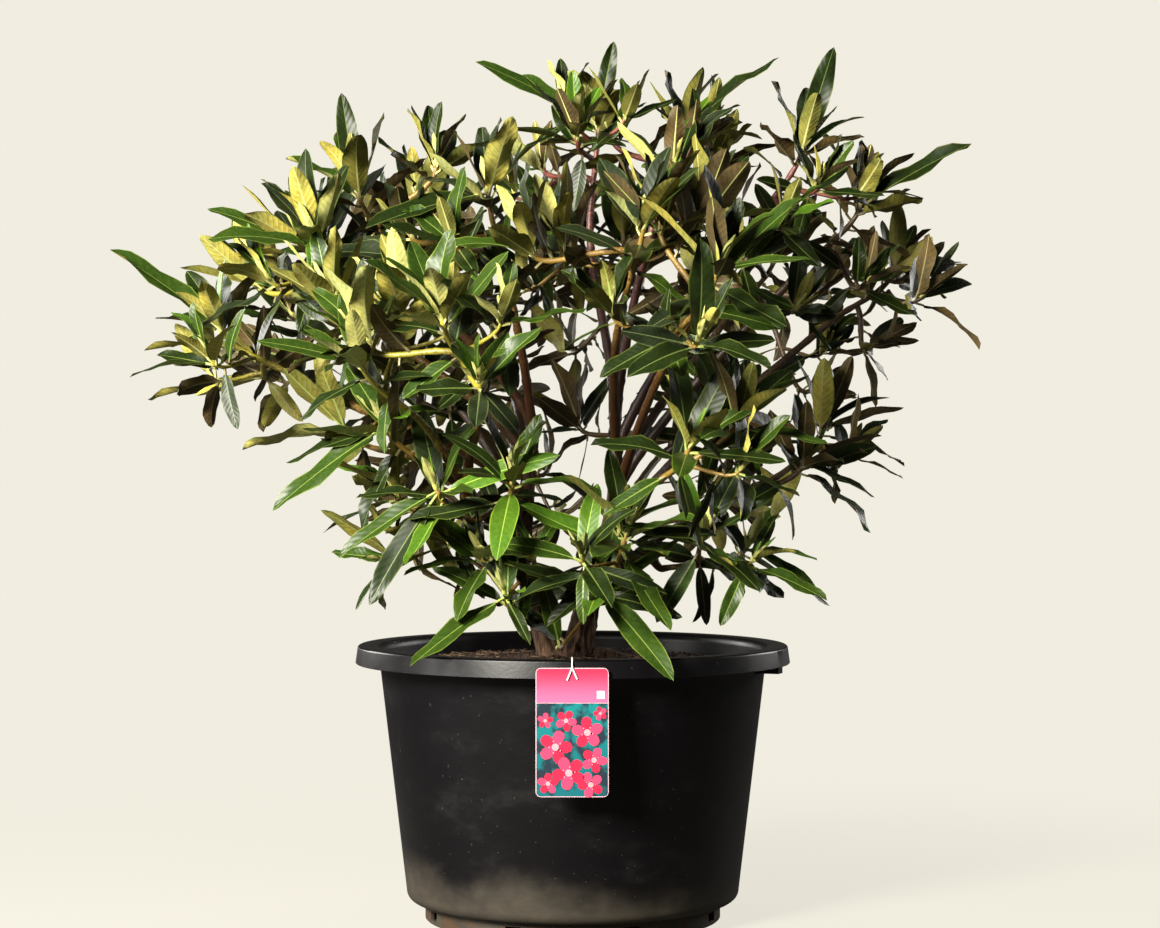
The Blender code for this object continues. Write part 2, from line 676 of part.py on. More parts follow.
class Grower:
    """Grows the sprays, each within the space nearest to its own whorls and clear of the rest."""

    def __init__(self, limbs, parts, cutters, sprays, base):
        self.limbs = limbs
        self.parts = parts
        self.cutters = cutters
        self.whorls = {spray.name: whorl_places(spray) for spray in sprays}
        self.foliage = make_material("foliage", LEAF_GREEN, 0.45)
        self.leaf_mesh = make_leaf_form()
        self.triangle = make_triangle(cutters)
        self.standing = [mesh_tree(piece) for piece in base]
        self.leaf_count = 0

    def in_own_space(self, name, places):
        """Whether every place is nearer to a whorl of its own spray than to any other's."""
        points = np.array([tuple(place) for place in places])
        nearest = {}
        for owner, whorls in self.whorls.items():
            sites = np.array([tuple(w + crown_heading(w) * SPACE_OFFSET) for w in whorls])
            spans = np.linalg.norm(points[:, None, :] - sites[None, :, :], axis=2)
            nearest[owner] = spans.min(axis=1)
        own = nearest.pop(name)
        return all((own < other).all() for other in nearest.values())

    def is_free(self, tree):
        """Whether a mesh stays clear of all limbs and of every other spray."""
        if self.limbs.touches(tree):
            return False
        return not any(tree.overlap(other) for other in self.standing)

    def grow(self, spray, seed):
        """Make one spray: its stem and shoots, then whorls of leaves on each shoot."""
        random = np.random.default_rng(seed)
        heap = bpy.data.collections.new("heap_" + spray.name)
        bpy.context.scene.collection.children.link(heap)
        shoots = self.make_twigs(spray, heap)
        stem = shoots[0][1]
        heap.objects.unlink(stem)
        self.cutters.objects.link(stem)
        trees = [mesh_tree(twig) for _, twig in shoots]
        for order, (places, _) in enumerate(shoots):
            reaches = list(spray.reach) if order == 0 else []
            self.make_leaves(spray.name, places, reaches, random, heap, trees)
        joined = join_heap(stem, heap, "foliage_" + spray.name, self.parts, self.foliage)
        self.standing.append(mesh_tree(joined))

    def make_twigs(self, spray, heap):
        """Stem from the bough's tip to the first whorl, and a side shoot to each other whorl."""
        whorls = self.whorls[spray.name]
        lead = whorls[0]
        if spray.has_bough:
            places, radii = self.limbs.paths["bough_" + spray.name]
            foot, heading = sample_path(places, 1.0)
            foot = foot + heading * GAP
        else:
            foot, heading = self.limbs.leave(spray.parent, spray.share, lead)
        knee = foot + heading * STRAIGHT_FOOT
        bend = bent_places(knee, heading, lead, crown_heading(lead), TWIG_STEPS)
        stem_places = np.vstack([foot, bend])
        stem = self.make_twig("stem_" + spray.name, stem_places, heap)
        if not spray.has_bough:
            collar = self.limbs.collars[spray.parent]
            stem = boolean_with(stem, collar, "DIFFERENCE", heap, self.foliage)
            keep_largest_body(stem.data)
        shoots = [(stem_places, stem)]
        for index, whorl in enumerate(whorls[1:]):
            start, along = sample_path(stem_places, SHOOT_SHARES[index])
            leaving = (along * SHOOT_PULL + (whorl - start).normalized()).normalized()
            side_places = bent_places(start, leaving, whorl, crown_heading(whorl), TWIG_STEPS)
            twig = self.make_twig(f"shoot_{spray.name}_{index}", side_places, heap)
            if self.is_free(mesh_tree(twig)):
                shoots.append((side_places, twig))
            else:
                bpy.data.objects.remove(twig, do_unlink=True)
        return shoots

    def make_twig(self, name, places, heap):
        """One three-sided tapering twig."""
        radii = np.linspace(TWIG_RADIUS, SHOOT_RADIUS, len(places))
        return tube_object(name, places, radii, heap, self.triangle)

    def make_leaves(self, name, places, reaches, random, heap, trees):
        """Whorl of leaves at a shoot's tip and a few hanging leaves below it."""
        phase = random.uniform(0.0, 2 * math.pi)
        droop = leaf_droop(places[-1][2])
        for index in range(WHORL_LEAVES + LOWER_LEAVES):
            share, polar, length = leaf_stance(index)
            polar = math.radians(polar + random.uniform(-LEAN_JITTER, LEAN_JITTER)) + droop
            length *= random.uniform(*SIZE_JITTER)
            root, along = sample_path(places, share)
            aside, across = side_axes(along)
            for turn_more, lift in LEAF_TRIES:
                turn = phase + GOLDEN_ANGLE * index + math.radians(turn_more)
                outward = aside * math.cos(turn) + across * math.sin(turn)
                lean = polar - math.radians(lift)
                direction = along * math.cos(lean) + outward * math.sin(lean)
                direction = (direction - Vector((0.0, 0.0, DROOP_PULL * droop))).normalized()
                if reaches:
                    target = Vector(reaches.pop(0))
                    direction = (target - root).normalized()
                    length = (target - root).length
                tree = self.place_leaf(name, root, direction, along, length, trees, heap)
                if tree is not None:
                    trees.append(tree)
                    break

    def place_leaf(self, name, root, direction, along, length, trees, heap):
        """Add one leaf unless it would leave its space or touch something."""
        matrix = leaf_matrix(root, direction, along, length)
        blade = [matrix @ vertex.co for vertex in self.leaf_mesh.vertices]
        middle = sum(blade, Vector()) / len(blade)
        if not self.in_own_space(name, [*blade[1:], middle]):
            return None
        test = leaf_tree(self.leaf_mesh, matrix, LEAF_ROOT_SHARE)
        if not self.is_free(leaf_tree(self.leaf_mesh, matrix, 0.0)):
            return None
        if any(test.overlap(other) for other in trees):
            return None
        leaf = bpy.data.objects.new("leaf", self.leaf_mesh)
        leaf.matrix_world = matrix
        heap.objects.link(leaf)
        self.leaf_count += 1
        return test


def leaf_stance(index):
    """Share of the shoot where a leaf stands, its lean in degrees and its length."""
    below = index - WHORL_LEAVES
    if below < 0:
        share = WHORL_FIRST_SHARE - WHORL_SHARE_STEP * index
        lean = WHORL_LEAN + WHORL_LEAN_STEP * index
        return share, lean, LEAF_LENGTH * (WHORL_FIRST_SIZE + WHORL_SIZE_STEP * index)
    share = LOWER_FIRST_SHARE - LOWER_SHARE_STEP * below
    return share, LOWER_LEAN + LOWER_LEAN_STEP * below, LEAF_LENGTH * LOWER_SIZE


def leaf_droop(height):
    """How far leaves tip over from their shoot, in radians: more the lower the shoot stands."""
    return DROOP_MOST * min(max((DROOP_TOP_Z - height) / DROOP_SPAN, 0.0), 1.0)


def leaf_matrix(root, direction, along, length):
    """Matrix that stretches the leaf form to a leaf on a twig."""
    upper = along + Vector((0.0, 0.0, SKY_PULL))
    side = upper.cross(direction)
    if side.length < 0.05:
        side = Vector((1.0, 0.0, 0.0)).cross(direction)
    side.normalize()
    normal = direction.cross(side)
    root = root - direction * LEAF_SINK
    width = length * LEAF_WIDTH_SHARE
    thickness = length * LEAF_THICKNESS_SHARE
    columns = (direction * (length + LEAF_SINK), side * width, normal * thickness)
    matrix = Matrix.Identity(4)
    for index, column in enumerate(columns):
        for row in range(3):
            matrix[row][index] = column[row]
    matrix.translation = root
    return matrix


def make_leaf_form():
    """Leaf of unit length, width and thickness: eight faces, folded along its rib and arched."""
    mesh = bpy.data.meshes.new("leaf_form")
    cage = bmesh.new()
    bmesh.ops.create_uvsphere(cage, u_segments=4, v_segments=2, radius=0.5)
    for vertex in cage.verts:
        x, y, z = vertex.co
        middle = 1.0 - 2.0 * abs(z)
        vertex.co = (z + 0.5, y, x + LEAF_FOLD * abs(y) + LEAF_ARCH * middle)
    bmesh.ops.recalc_face_normals(cage, faces=cage.faces)
    cage.to_mesh(mesh)
    cage.free()
    return mesh


def leaf_tree(mesh, matrix, root_share):
    """Search tree of a leaf without a share of its root, a little thicker than the leaf."""
    grow = Matrix.Diagonal((LEAF_MARGIN[0] - root_share, LEAF_MARGIN[1], LEAF_MARGIN[2], 1.0))
    shift = Matrix.Translation((root_share, 0.0, 0.0))
    places = [matrix @ shift @ grow @ vertex.co for vertex in mesh.vertices]
    return BVHTree.FromPolygons(places, [tuple(face.vertices) for face in mesh.polygons])


def make_triangle(collection):
    """Profile of the three-sided twigs, with a radius of one."""
    curve = bpy.data.curves.new("triangle", "CURVE")
    curve.dimensions = "2D"
    curve.fill_mode = "NONE"
    spline = curve.splines.new("POLY")
    spline.use_cyclic_u = True
    spline.points.add(2)
    for point, (x, y) in zip(spline.points, arc((0.0, 0.0), 1.0, 0.0, 240.0, 3)):
        point.co = (x, y, 0.0, 1.0)
    triangle = bpy.data.objects.new("triangle", curve)
    collection.objects.link(triangle)
    hide_guide(triangle)
    return triangle


def join_heap(stem, heap, name, collection, material):
    """Join a stem with every twig and leaf in a collection, which is then emptied."""
    modifier = stem.modifiers.new("join", "BOOLEAN")
    modifier.operation = "UNION"
    modifier.operand_type = "COLLECTION"
    modifier.collection = heap
    modifier.solver = "EXACT"
    mesh = closed_union(stem)
    while mesh is None:
        bpy.data.objects.remove(heap.objects[-1], do_unlink=True)
        mesh = closed_union(stem)
    for piece in [stem, *heap.objects]:
        bpy.data.objects.remove(piece, do_unlink=True)
    bpy.data.collections.remove(heap)
    return add_mesh_object(name, mesh, collection, material)


def closed_union(stem):
    """The joined mesh, from the first merging distance that closes it, or None."""
    for distance in FINE_WELDS:
        mesh = evaluated_mesh(stem, distance)
        keep_largest_body(mesh)
        if is_closed(mesh):
            return mesh
    return None


def is_closed(mesh):
    """Whether every edge of a mesh joins exactly two faces."""
    cage = bmesh.new()
    cage.from_mesh(mesh)
    closed = all(len(edge.link_faces) == 2 for edge in cage.edges)
    cage.free()
    return closed


def make_boughs(limbs, sprays):
    """One tapering bough for each spray, from its parent limb to where its leaves begin."""
    for spray in sprays:
        if not spray.has_bough:
            continue
        lead = Vector(spray.whorls[0])
        heading = crown_heading(lead)
        tip = lead - heading * SPRAY_STEM
        start, leaving = limbs.leave(spray.parent, spray.share, tip)
        if spray.share == 1.0:
            start = start + leaving * GAP
        places = bent_places(start, leaving, tip, heading, BOUGH_STEPS)
        radii = np.linspace(BOUGH_FOOT_RADIUS, BOUGH_TIP_RADIUS, BOUGH_STEPS)
        limbs.add("bough_" + spray.name, places, radii)


def main():
    """Build the pot, the mix and the label, then the stems, the boughs and the sprays."""
    clear_scene()
    parts = make_collection(OBJECT_NAME)
    cutters = make_collection("cutters")
    base = [
        make_pot(parts, cutters),
        make_potting_mix(parts),
        make_label(parts, cutters),
        make_label_tie(parts, cutters),
    ]
    limbs = Limbs(parts, cutters)
    sprays = [*FRONT_SPRAYS, *back_sprays()]
    make_stems(limbs)
    make_boughs(limbs, sprays)
    grower = Grower(limbs, parts, cutters, sprays, base)
    for seed, spray in enumerate(sprays):
        grower.grow(spray, seed)
    for guide in list(cutters.objects):
        bpy.data.objects.remove(guide, do_unlink=True)
    return grower


if __name__ == "__main__":
    main()
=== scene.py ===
"""Looks of a rhododendron in its nursery pot: pot, potting mix, label, bark, shoots and leaves.

Every length is in metres and every place is in the frame of the solids: the pot stands on z = 0
with its axis on x = y = 0, and the side with the label faces -Y. The limbs, the shoots and the
whorls of leaves grow by the same rule as the solids, carried on to finer shoots.
"""

import json
import logging
import math
from dataclasses import dataclass, field
from enum import Enum

import bpy
import numpy as np
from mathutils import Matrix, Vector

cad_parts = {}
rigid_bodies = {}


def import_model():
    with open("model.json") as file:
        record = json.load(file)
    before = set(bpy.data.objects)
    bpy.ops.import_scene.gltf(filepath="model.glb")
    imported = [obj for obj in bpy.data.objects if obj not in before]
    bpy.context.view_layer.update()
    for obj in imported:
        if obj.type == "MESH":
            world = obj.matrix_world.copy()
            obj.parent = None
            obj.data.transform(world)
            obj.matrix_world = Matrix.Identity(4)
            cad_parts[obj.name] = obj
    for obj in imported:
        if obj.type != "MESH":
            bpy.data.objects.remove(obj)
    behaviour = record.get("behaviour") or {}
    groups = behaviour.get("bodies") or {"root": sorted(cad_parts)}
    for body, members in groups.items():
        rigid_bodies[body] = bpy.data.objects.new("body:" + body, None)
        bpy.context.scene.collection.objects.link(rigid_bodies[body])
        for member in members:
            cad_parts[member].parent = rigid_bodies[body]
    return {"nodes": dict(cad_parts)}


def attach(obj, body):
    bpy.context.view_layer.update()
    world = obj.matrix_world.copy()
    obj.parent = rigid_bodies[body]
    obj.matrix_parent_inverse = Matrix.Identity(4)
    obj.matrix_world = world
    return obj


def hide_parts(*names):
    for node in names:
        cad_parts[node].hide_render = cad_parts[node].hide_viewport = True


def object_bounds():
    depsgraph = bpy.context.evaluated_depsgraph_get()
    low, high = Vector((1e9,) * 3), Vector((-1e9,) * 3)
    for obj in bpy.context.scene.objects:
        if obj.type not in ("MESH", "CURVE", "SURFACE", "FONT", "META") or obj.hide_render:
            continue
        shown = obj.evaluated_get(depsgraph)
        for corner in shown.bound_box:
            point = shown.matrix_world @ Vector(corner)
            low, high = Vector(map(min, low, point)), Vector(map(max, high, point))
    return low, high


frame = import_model()
CAD_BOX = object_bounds()

LOG = logging.getLogger("potted_rhododendron")
BODY = "root"
UP = np.array((0.0, 0.0, 1.0))
TO_FRONT = np.array((0.0, -1.0, 0.0))
GOLDEN_ANGLE = math.radians(137.508)
FULL_TURN = 2.0 * math.pi
Colour = tuple[float, float, float]
Array = np.ndarray
Chance = np.random.Generator
Material = bpy.types.Material
Piece = bpy.types.Object
Socket = bpy.types.NodeSocket


# Small vector and noise helpers

def unit(vectors: Array) -> Array:
    """Scale vectors to length one, along the last axis."""
    return vectors / np.maximum(np.linalg.norm(vectors, axis=-1, keepdims=True), 1e-9)


def soft_noise(places: Array, scale: float, seed: int, waves: int = 9) -> Array:
    """Smooth noise in space, about -1 to 1.

    Formula: the sum of sines of the place along random directions, each with its own random
    frequency round the scale and its own phase, over their count and times 1.6 root two.

    Args:
        places: Points, with x, y and z on the last axis.
        scale: Waves for each metre.
        seed: Seed of the directions and phases.
        waves: Number of sines.

    Returns:
        One value for each point.
    """
    random = np.random.default_rng(seed)
    headings = unit(random.normal(size=(waves, 3)))
    rates = scale * FULL_TURN * random.uniform(0.6, 1.5, waves)
    phases = random.uniform(0.0, FULL_TURN, waves)
    sines = np.sin(places @ (headings * rates[:, None]).T + phases)
    return sines.sum(axis=-1) * math.sqrt(2.0) / waves * 1.6


def even_angles(count: int) -> Array:
    """Give even angles round a full turn, from 0."""
    return np.linspace(0.0, FULL_TURN, count, endpoint=False)


def side_axes(heading: Array) -> tuple[Array, Array]:
    """Give two directions square to a heading and to each other.

    Args:
        heading: A direction of length one.

    Returns:
        The direction aside, square to Z as well, and the one across.
    """
    aside = np.cross(heading, UP)
    if np.linalg.norm(aside) < 0.1:
        aside = np.cross(heading, (1.0, 0.0, 0.0))
    aside = unit(aside)
    return aside, unit(np.cross(heading, aside))


def outward(heading: Array, turn: float) -> Array:
    """Give the direction square to a heading that a turn about it, in radians, leads to."""
    aside, across = side_axes(heading)
    return aside * math.cos(turn) + across * math.sin(turn)


def arc(centre: tuple[float, float], radius: float, start: float, end: float, count: int) -> Array:
    """Give points of an arc: centre plus radius * (cos a, sin a), with a in even steps in degrees."""
    angles = np.radians(np.linspace(start, end, count))
    return np.column_stack([centre[0] + radius * np.cos(angles), centre[1] + radius * np.sin(angles)])


def bent_path(start: Array, leaving: Array, end: Array, arriving: Array,
              steps: int, pull: float = 0.9) -> Array:
    """Give places along a curve that leaves along one heading and arrives along another.

    Formula: a cubic Hermite curve whose end tangents are the headings times the span and the pull.

    Args:
        start: First place.
        leaving: Heading there.
        end: Last place.
        arriving: Heading there.
        steps: Number of places.
        pull: How strongly the headings bend the curve.

    Returns:
        The places, one a row.
    """
    span = np.linalg.norm(end - start) * pull
    t = np.linspace(0.0, 1.0, steps)[:, None]
    return ((2 * t**3 - 3 * t**2 + 1) * start + (t**3 - 2 * t**2 + t) * leaving * span
            + (3 * t**2 - 2 * t**3) * end + (t**3 - t**2) * arriving * span)


def smooth_path(places: tuple, radii: tuple, steps: int) -> tuple[Array, Array]:
    """Give places and radii along a smooth curve through a few of them.

    Formula: a Catmull-Rom curve, with an extra knot mirrored past each end.

    Args:
        places: Places that the curve passes through.
        radii: Radius at each of them.
        steps: Number of places wanted.

    Returns:
        The places and the radii.
    """
    knots = np.column_stack([np.array(places, dtype=float), radii])
    knots = np.vstack([2 * knots[0] - knots[1], knots, 2 * knots[-1] - knots[-2]])
    shares = np.linspace(0.0, len(places) - 1, steps)
    spans = np.minimum(shares.astype(int), len(places) - 2)
    t = (shares - spans)[:, None]
    a, b, c, d = (knots[spans + offset] for offset in range(4))
    rows = 0.5 * (2 * b + (c - a) * t + (2 * a - 5 * b + 4 * c - d) * t**2
                  + (3 * b - a - 3 * c + d) * t**3)
    return rows[:, :3], rows[:, 3]


# Meshes from arrays

def ring_faces(rings: int, sides: int, first: int = 0) -> Array:
    """Give the quads between rings of points, closed round.

    Args:
        rings: Number of rings.
        sides: Points in each ring.
        first: Index of the first point.

    Returns:
        The corners of each quad.
    """
    ring, side = np.meshgrid(np.arange(rings - 1), np.arange(sides), indexing="ij")
    after = (side + 1) % sides
    here, there = ring * sides, (ring + 1) * sides
    corners = [here + side, here + after, there + after, there + side]
    return np.stack([c.ravel() for c in corners], axis=1) + first


def fan_faces(pole: int, first: int, sides: int, turned: bool) -> Array:
    """Give the triangles between a pole and a ring of points.

    Args:
        pole: Index of the pole's point.
        first: Index of the ring's first point.
        sides: Points in the ring.
        turned: Whether the faces run the other way round.

    Returns:
        The corners of each triangle.
    """
    side = np.arange(sides)
    here, after = first + side, first + (side + 1) % sides
    if turned:
        here, after = after, here
    return np.column_stack([np.full(sides, pole), here, after])


@dataclass
class Shell:
    """Points, faces and values of a piece while it is put together."""

    points: list[Array] = field(default_factory=list)
    faces: list[Array] = field(default_factory=list)
    slots: list[Array] = field(default_factory=list)
    places_on: list[Array] = field(default_factory=list)
    ages: list[Array] = field(default_factory=list)
    count: int = 0

    def add_points(self, points: Array, age: Array | float = 0.0, place_on: Array | None = None) -> int:
        """Add points and give the index of the first.

        Args:
            points: The points, one a row.
            age: From 0, old wood or plain, to 1, a fresh tip, for each point.
            place_on: The place on the surface, two numbers a point, for the piece's own map.

        Returns:
            The index of the first new point.
        """
        first = self.count
        self.points.append(points)
        self.ages.append(np.broadcast_to(age, (len(points),)).astype(float))
        self.places_on.append(np.zeros((len(points), 2)) if place_on is None else place_on)
        self.count += len(points)
        return first

    def add_faces(self, faces: Array, slot: Array | int = 0) -> None:
        """Add faces with three or four corners, each with a material slot."""
        self.faces.append(faces)
        self.slots.append(np.broadcast_to(slot, (len(faces),)).astype(int))

    def make(self, name: str, materials: list[Material], crease: float) -> Piece:
        """Make the piece's object, shaded smooth but for its creases.

        Args:
            name: Name of the piece.
            materials: Its materials, in the order of the slots.
            crease: Angle in degrees past which an edge stays sharp.

        Returns:
            The object, at the origin.
        """
        points = np.vstack(self.points)
        loops = np.concatenate([faces.ravel() for faces in self.faces])
        totals = np.concatenate([np.full(len(faces), faces.shape[1]) for faces in self.faces])
        mesh = bpy.data.meshes.new(name)
        mesh.vertices.add(len(points))
        mesh.vertices.foreach_set("co", points.astype(np.float32).ravel())
        mesh.loops.add(len(loops))
        mesh.loops.foreach_set("vertex_index", loops.astype(np.int32))
        mesh.polygons.add(len(totals))
        mesh.polygons.foreach_set("loop_start", (np.cumsum(totals) - totals).astype(np.int32))
        mesh.polygons.foreach_set("material_index", np.concatenate(self.slots).astype(np.int32))
        blade = mesh.uv_layers.new(name="blade")
        blade.uv.foreach_set("vector", np.vstack(self.places_on)[loops].astype(np.float32).ravel())
        age = mesh.attributes.new("age", "FLOAT", "POINT")
        age.data.foreach_set("value", np.concatenate(self.ages).astype(np.float32))
        for material in materials:
            mesh.materials.append(material)
        mesh.update(calc_edges=True)
        mesh.validate()
        mesh.shade_smooth()
        mesh.set_sharp_from_angle(angle=math.radians(crease))
        piece = bpy.data.objects.new(name, mesh)
        bpy.context.scene.collection.objects.link(piece)
        return piece


def add_tube(shell: Shell, places: Array, radii: Array, sides: int,
             age: Array | float = 0.0, slot: int = 0) -> None:
    """Add a closed tube along a path.

    Formula: point = centre + radius * (cos a * A + sin a * B), where B is square to the path and
    to the plane that it mostly lies in and A is square to both; a pole closes each end.

    Args:
        shell: The piece.
        places: Centres of the rings.
        radii: Radius of each ring, or of each point of each ring.
        sides: Points in each ring.
        age: Age of each ring.
        slot: Material slot.
    """
    headings = unit(np.gradient(places, axis=0))
    normal = np.cross(headings[0], headings[-1])
    if np.linalg.norm(normal) < 0.05:
        normal = side_axes(headings[0])[0]
    aside = unit(np.cross(normal, headings))
    across = np.cross(headings, aside)
    angles = even_angles(sides)
    rim = aside[:, None] * np.cos(angles)[:, None] + across[:, None] * np.sin(angles)[:, None]
    radii = np.broadcast_to(np.reshape(radii, (len(places), -1)), (len(places), sides))
    points = (places[:, None] + rim * radii[:, :, None]).reshape(-1, 3)
    ages = np.broadcast_to(age, (len(places),))
    first = shell.add_points(points, np.repeat(ages, sides))
    reach = radii[[0, -1]].mean(axis=1)
    low, high = places[0] - headings[0] * reach[0] * 0.3, places[-1] + headings[-1] * reach[1] * 0.7
    pole = shell.add_points(np.stack([low, high]), ages[[0, -1]])
    shell.add_faces(ring_faces(len(places), sides, first), slot)
    shell.add_faces(fan_faces(pole, first, sides, True), slot)
    shell.add_faces(fan_faces(pole + 1, first + (len(places) - 1) * sides, sides, False), slot)


def add_copies(shell: Shell, points: Array, faces: list[Array], matrices: Array,
               places: Array, slot: Array | int = 0) -> None:
    """Add copies of a small form, each turned, stretched and placed.

    Args:
        shell: The piece.
        points: The form's points.
        faces: Its quads and its triangles.
        matrices: A three by three matrix for each copy.
        places: The place of each copy.
        slot: Material slot of each copy.
    """
    copies = np.einsum("nij,pj->npi", matrices, points) + places[:, None]
    first = shell.add_points(copies.reshape(-1, 3))
    starts = first + np.arange(len(places)) * len(points)
    slots = np.broadcast_to(slot, (len(places),))
    for group in faces:
        moved = group[None] + starts[:, None, None]
        shell.add_faces(moved.reshape(-1, group.shape[1]), np.repeat(slots, len(group)))


def lathe(profile: Array, sides: int) -> tuple[Array, list[Array]]:
    """Turn a profile about Z, with its first and last points as poles on the axis.

    Formula: point = (r cos a, r sin a, z) for each inner profile point and each even angle.

    Args:
        profile: Radius and height of each point, from the bottom up.
        sides: Points round.

    Returns:
        The points, and the quads and triangles.
    """
    angles = even_angles(sides)
    radius, height = profile[1:-1, 0], profile[1:-1, 1]
    x = radius[:, None] * np.cos(angles)
    y = radius[:, None] * np.sin(angles)
    z = np.broadcast_to(height[:, None], x.shape)
    rings = np.stack([x, y, z], axis=2).reshape(-1, 3)
    poles = np.array([(0.0, 0.0, profile[0, 1]), (0.0, 0.0, profile[-1, 1])])
    count = len(rings)
    fans = [fan_faces(count, 0, sides, True), fan_faces(count + 1, count - sides, sides, False)]
    return np.vstack([rings, poles]), [ring_faces(len(radius), sides), np.vstack(fans)]


def random_turns(random: Chance, count: int) -> Array:
    """Give random rotation matrices, from three random directions made square to each other."""
    first = unit(random.normal(size=(count, 3)))
    second = unit(np.cross(first, random.normal(size=(count, 3))))
    return np.stack([first, second, np.cross(first, second)], axis=2)


# Materials

class Wiring:
    """A material's node tree, with short calls that add and join its nodes."""

    def __init__(self, name: str, roughness: float, specular: float = 0.5) -> None:
        """Start a material with its plain values.

        Args:
            name: Name of the material.
            roughness: Roughness of its shader.
            specular: Specular level of its shader.
        """
        self.material = bpy.data.materials.new(name)
        self.material.use_nodes = True
        self.tree = self.material.node_tree
        self.shader = self.tree.nodes["Principled BSDF"]
        self.shader.inputs["Roughness"].default_value = roughness
        self.shader.inputs["Specular IOR Level"].default_value = specular

    def put(self, value: object, socket: Socket) -> None:
        """Join a socket to another, or set it to a plain value."""
        if isinstance(value, Socket):
            self.tree.links.new(value, socket)
        elif isinstance(value, tuple) and len(value) == 3 and socket.type == "RGBA":
            socket.default_value = (*value, 1.0)
        else:
            socket.default_value = value

    def node(self, kind: str, **inputs: object) -> bpy.types.Node:
        """Add a node of a kind and fill its inputs by name, with _ for a space."""
        made = self.tree.nodes.new(kind)
        for name, value in inputs.items():
            self.put(value, made.inputs[name.replace("_", " ")])
        return made

    def place(self, stretch: Colour = (1.0, 1.0, 1.0)) -> Socket:
        """Give the place on the object, stretched along its axes."""
        coordinates = self.tree.nodes.new("ShaderNodeTexCoord").outputs["Object"]
        return self.node("ShaderNodeMapping", Vector=coordinates, Scale=stretch).outputs["Vector"]

    def noise(self, scale: float, detail: float = 3.0, stretch: Colour = (1.0, 1.0, 1.0),
              roughness: float = 0.55) -> Socket:
        """Give noise on the object's place, 0 to 1, with the scale in lumps for each metre."""
        return self.node("ShaderNodeTexNoise", Vector=self.place(stretch), Scale=scale, Detail=detail,
                         Roughness=roughness).outputs["Fac"]

    def math(self, operation: str, first: object, second: object = 0.0) -> Socket:
        """Work out one sum on two values.

        Args:
            operation: Blender's name of the sum.
            first: First value or socket.
            second: Second value or socket.

        Returns:
            The socket with the result.
        """
        made = self.tree.nodes.new("ShaderNodeMath")
        made.operation = operation
        self.put(first, made.inputs[0])
        self.put(second, made.inputs[1])
        return made.outputs[0]

    def plus(self, first: object, second: object) -> Socket:
        """Add two values."""
        return self.math("ADD", first, second)

    def minus(self, first: object, second: object) -> Socket:
        """Take the second value from the first."""
        return self.math("SUBTRACT", first, second)

    def times(self, first: object, second: object) -> Socket:
        """Multiply two values."""
        return self.math("MULTIPLY", first, second)

    def span(self, value: object, low: float, high: float, start: float = 0.0,
             end: float = 1.0) -> Socket:
        """Map a value from one span to another, clamped and eased at both ends.

        Args:
            value: The socket that is read.
            low: Value that gives the start.
            high: Value that gives the end.
            start: First result.
            end: Last result.

        Returns:
            The socket with the result.
        """
        made = self.tree.nodes.new("ShaderNodeMapRange")
        made.interpolation_type = "SMOOTHSTEP"
        for index, item in enumerate((value, low, high, start, end)):
            self.put(item, made.inputs[index])
        return made.outputs["Result"]

    def mix(self, share: object, first: object, second: object) -> Socket:
        """Mix two colours.

        Args:
            share: Share of the second colour.
            first: First colour or socket.
            second: Second colour or socket.

        Returns:
            The socket with the mixed colour.
        """
        made = self.tree.nodes.new("ShaderNodeMix")
        made.data_type = "RGBA"
        self.put(share, made.inputs[0])
        self.put(first, made.inputs[6])
        self.put(second, made.inputs[7])
        return made.outputs[2]

    def height(self) -> Socket:
        """Give the height on the object, in metres."""
        return self.node("ShaderNodeSeparateXYZ", Vector=self.place()).outputs["Z"]

    def colour(self, value: object) -> None:
        """Set or join the base colour."""
        self.put(value, self.shader.inputs["Base Color"])

    def bump(self, height: object, distance: float, strength: float = 1.0) -> None:
        """Raise the surface by a height, over a distance in metres."""
        made = self.node("ShaderNodeBump", Height=height, Distance=distance, Strength=strength)
        self.put(made.outputs["Normal"], self.shader.inputs["Normal"])


def scaled(colour: Colour, *factors: float) -> Colour:
    """Scale a colour by one factor, or by one for each channel."""
    return tuple(channel * factors[index % len(factors)] for index, channel in enumerate(colour))


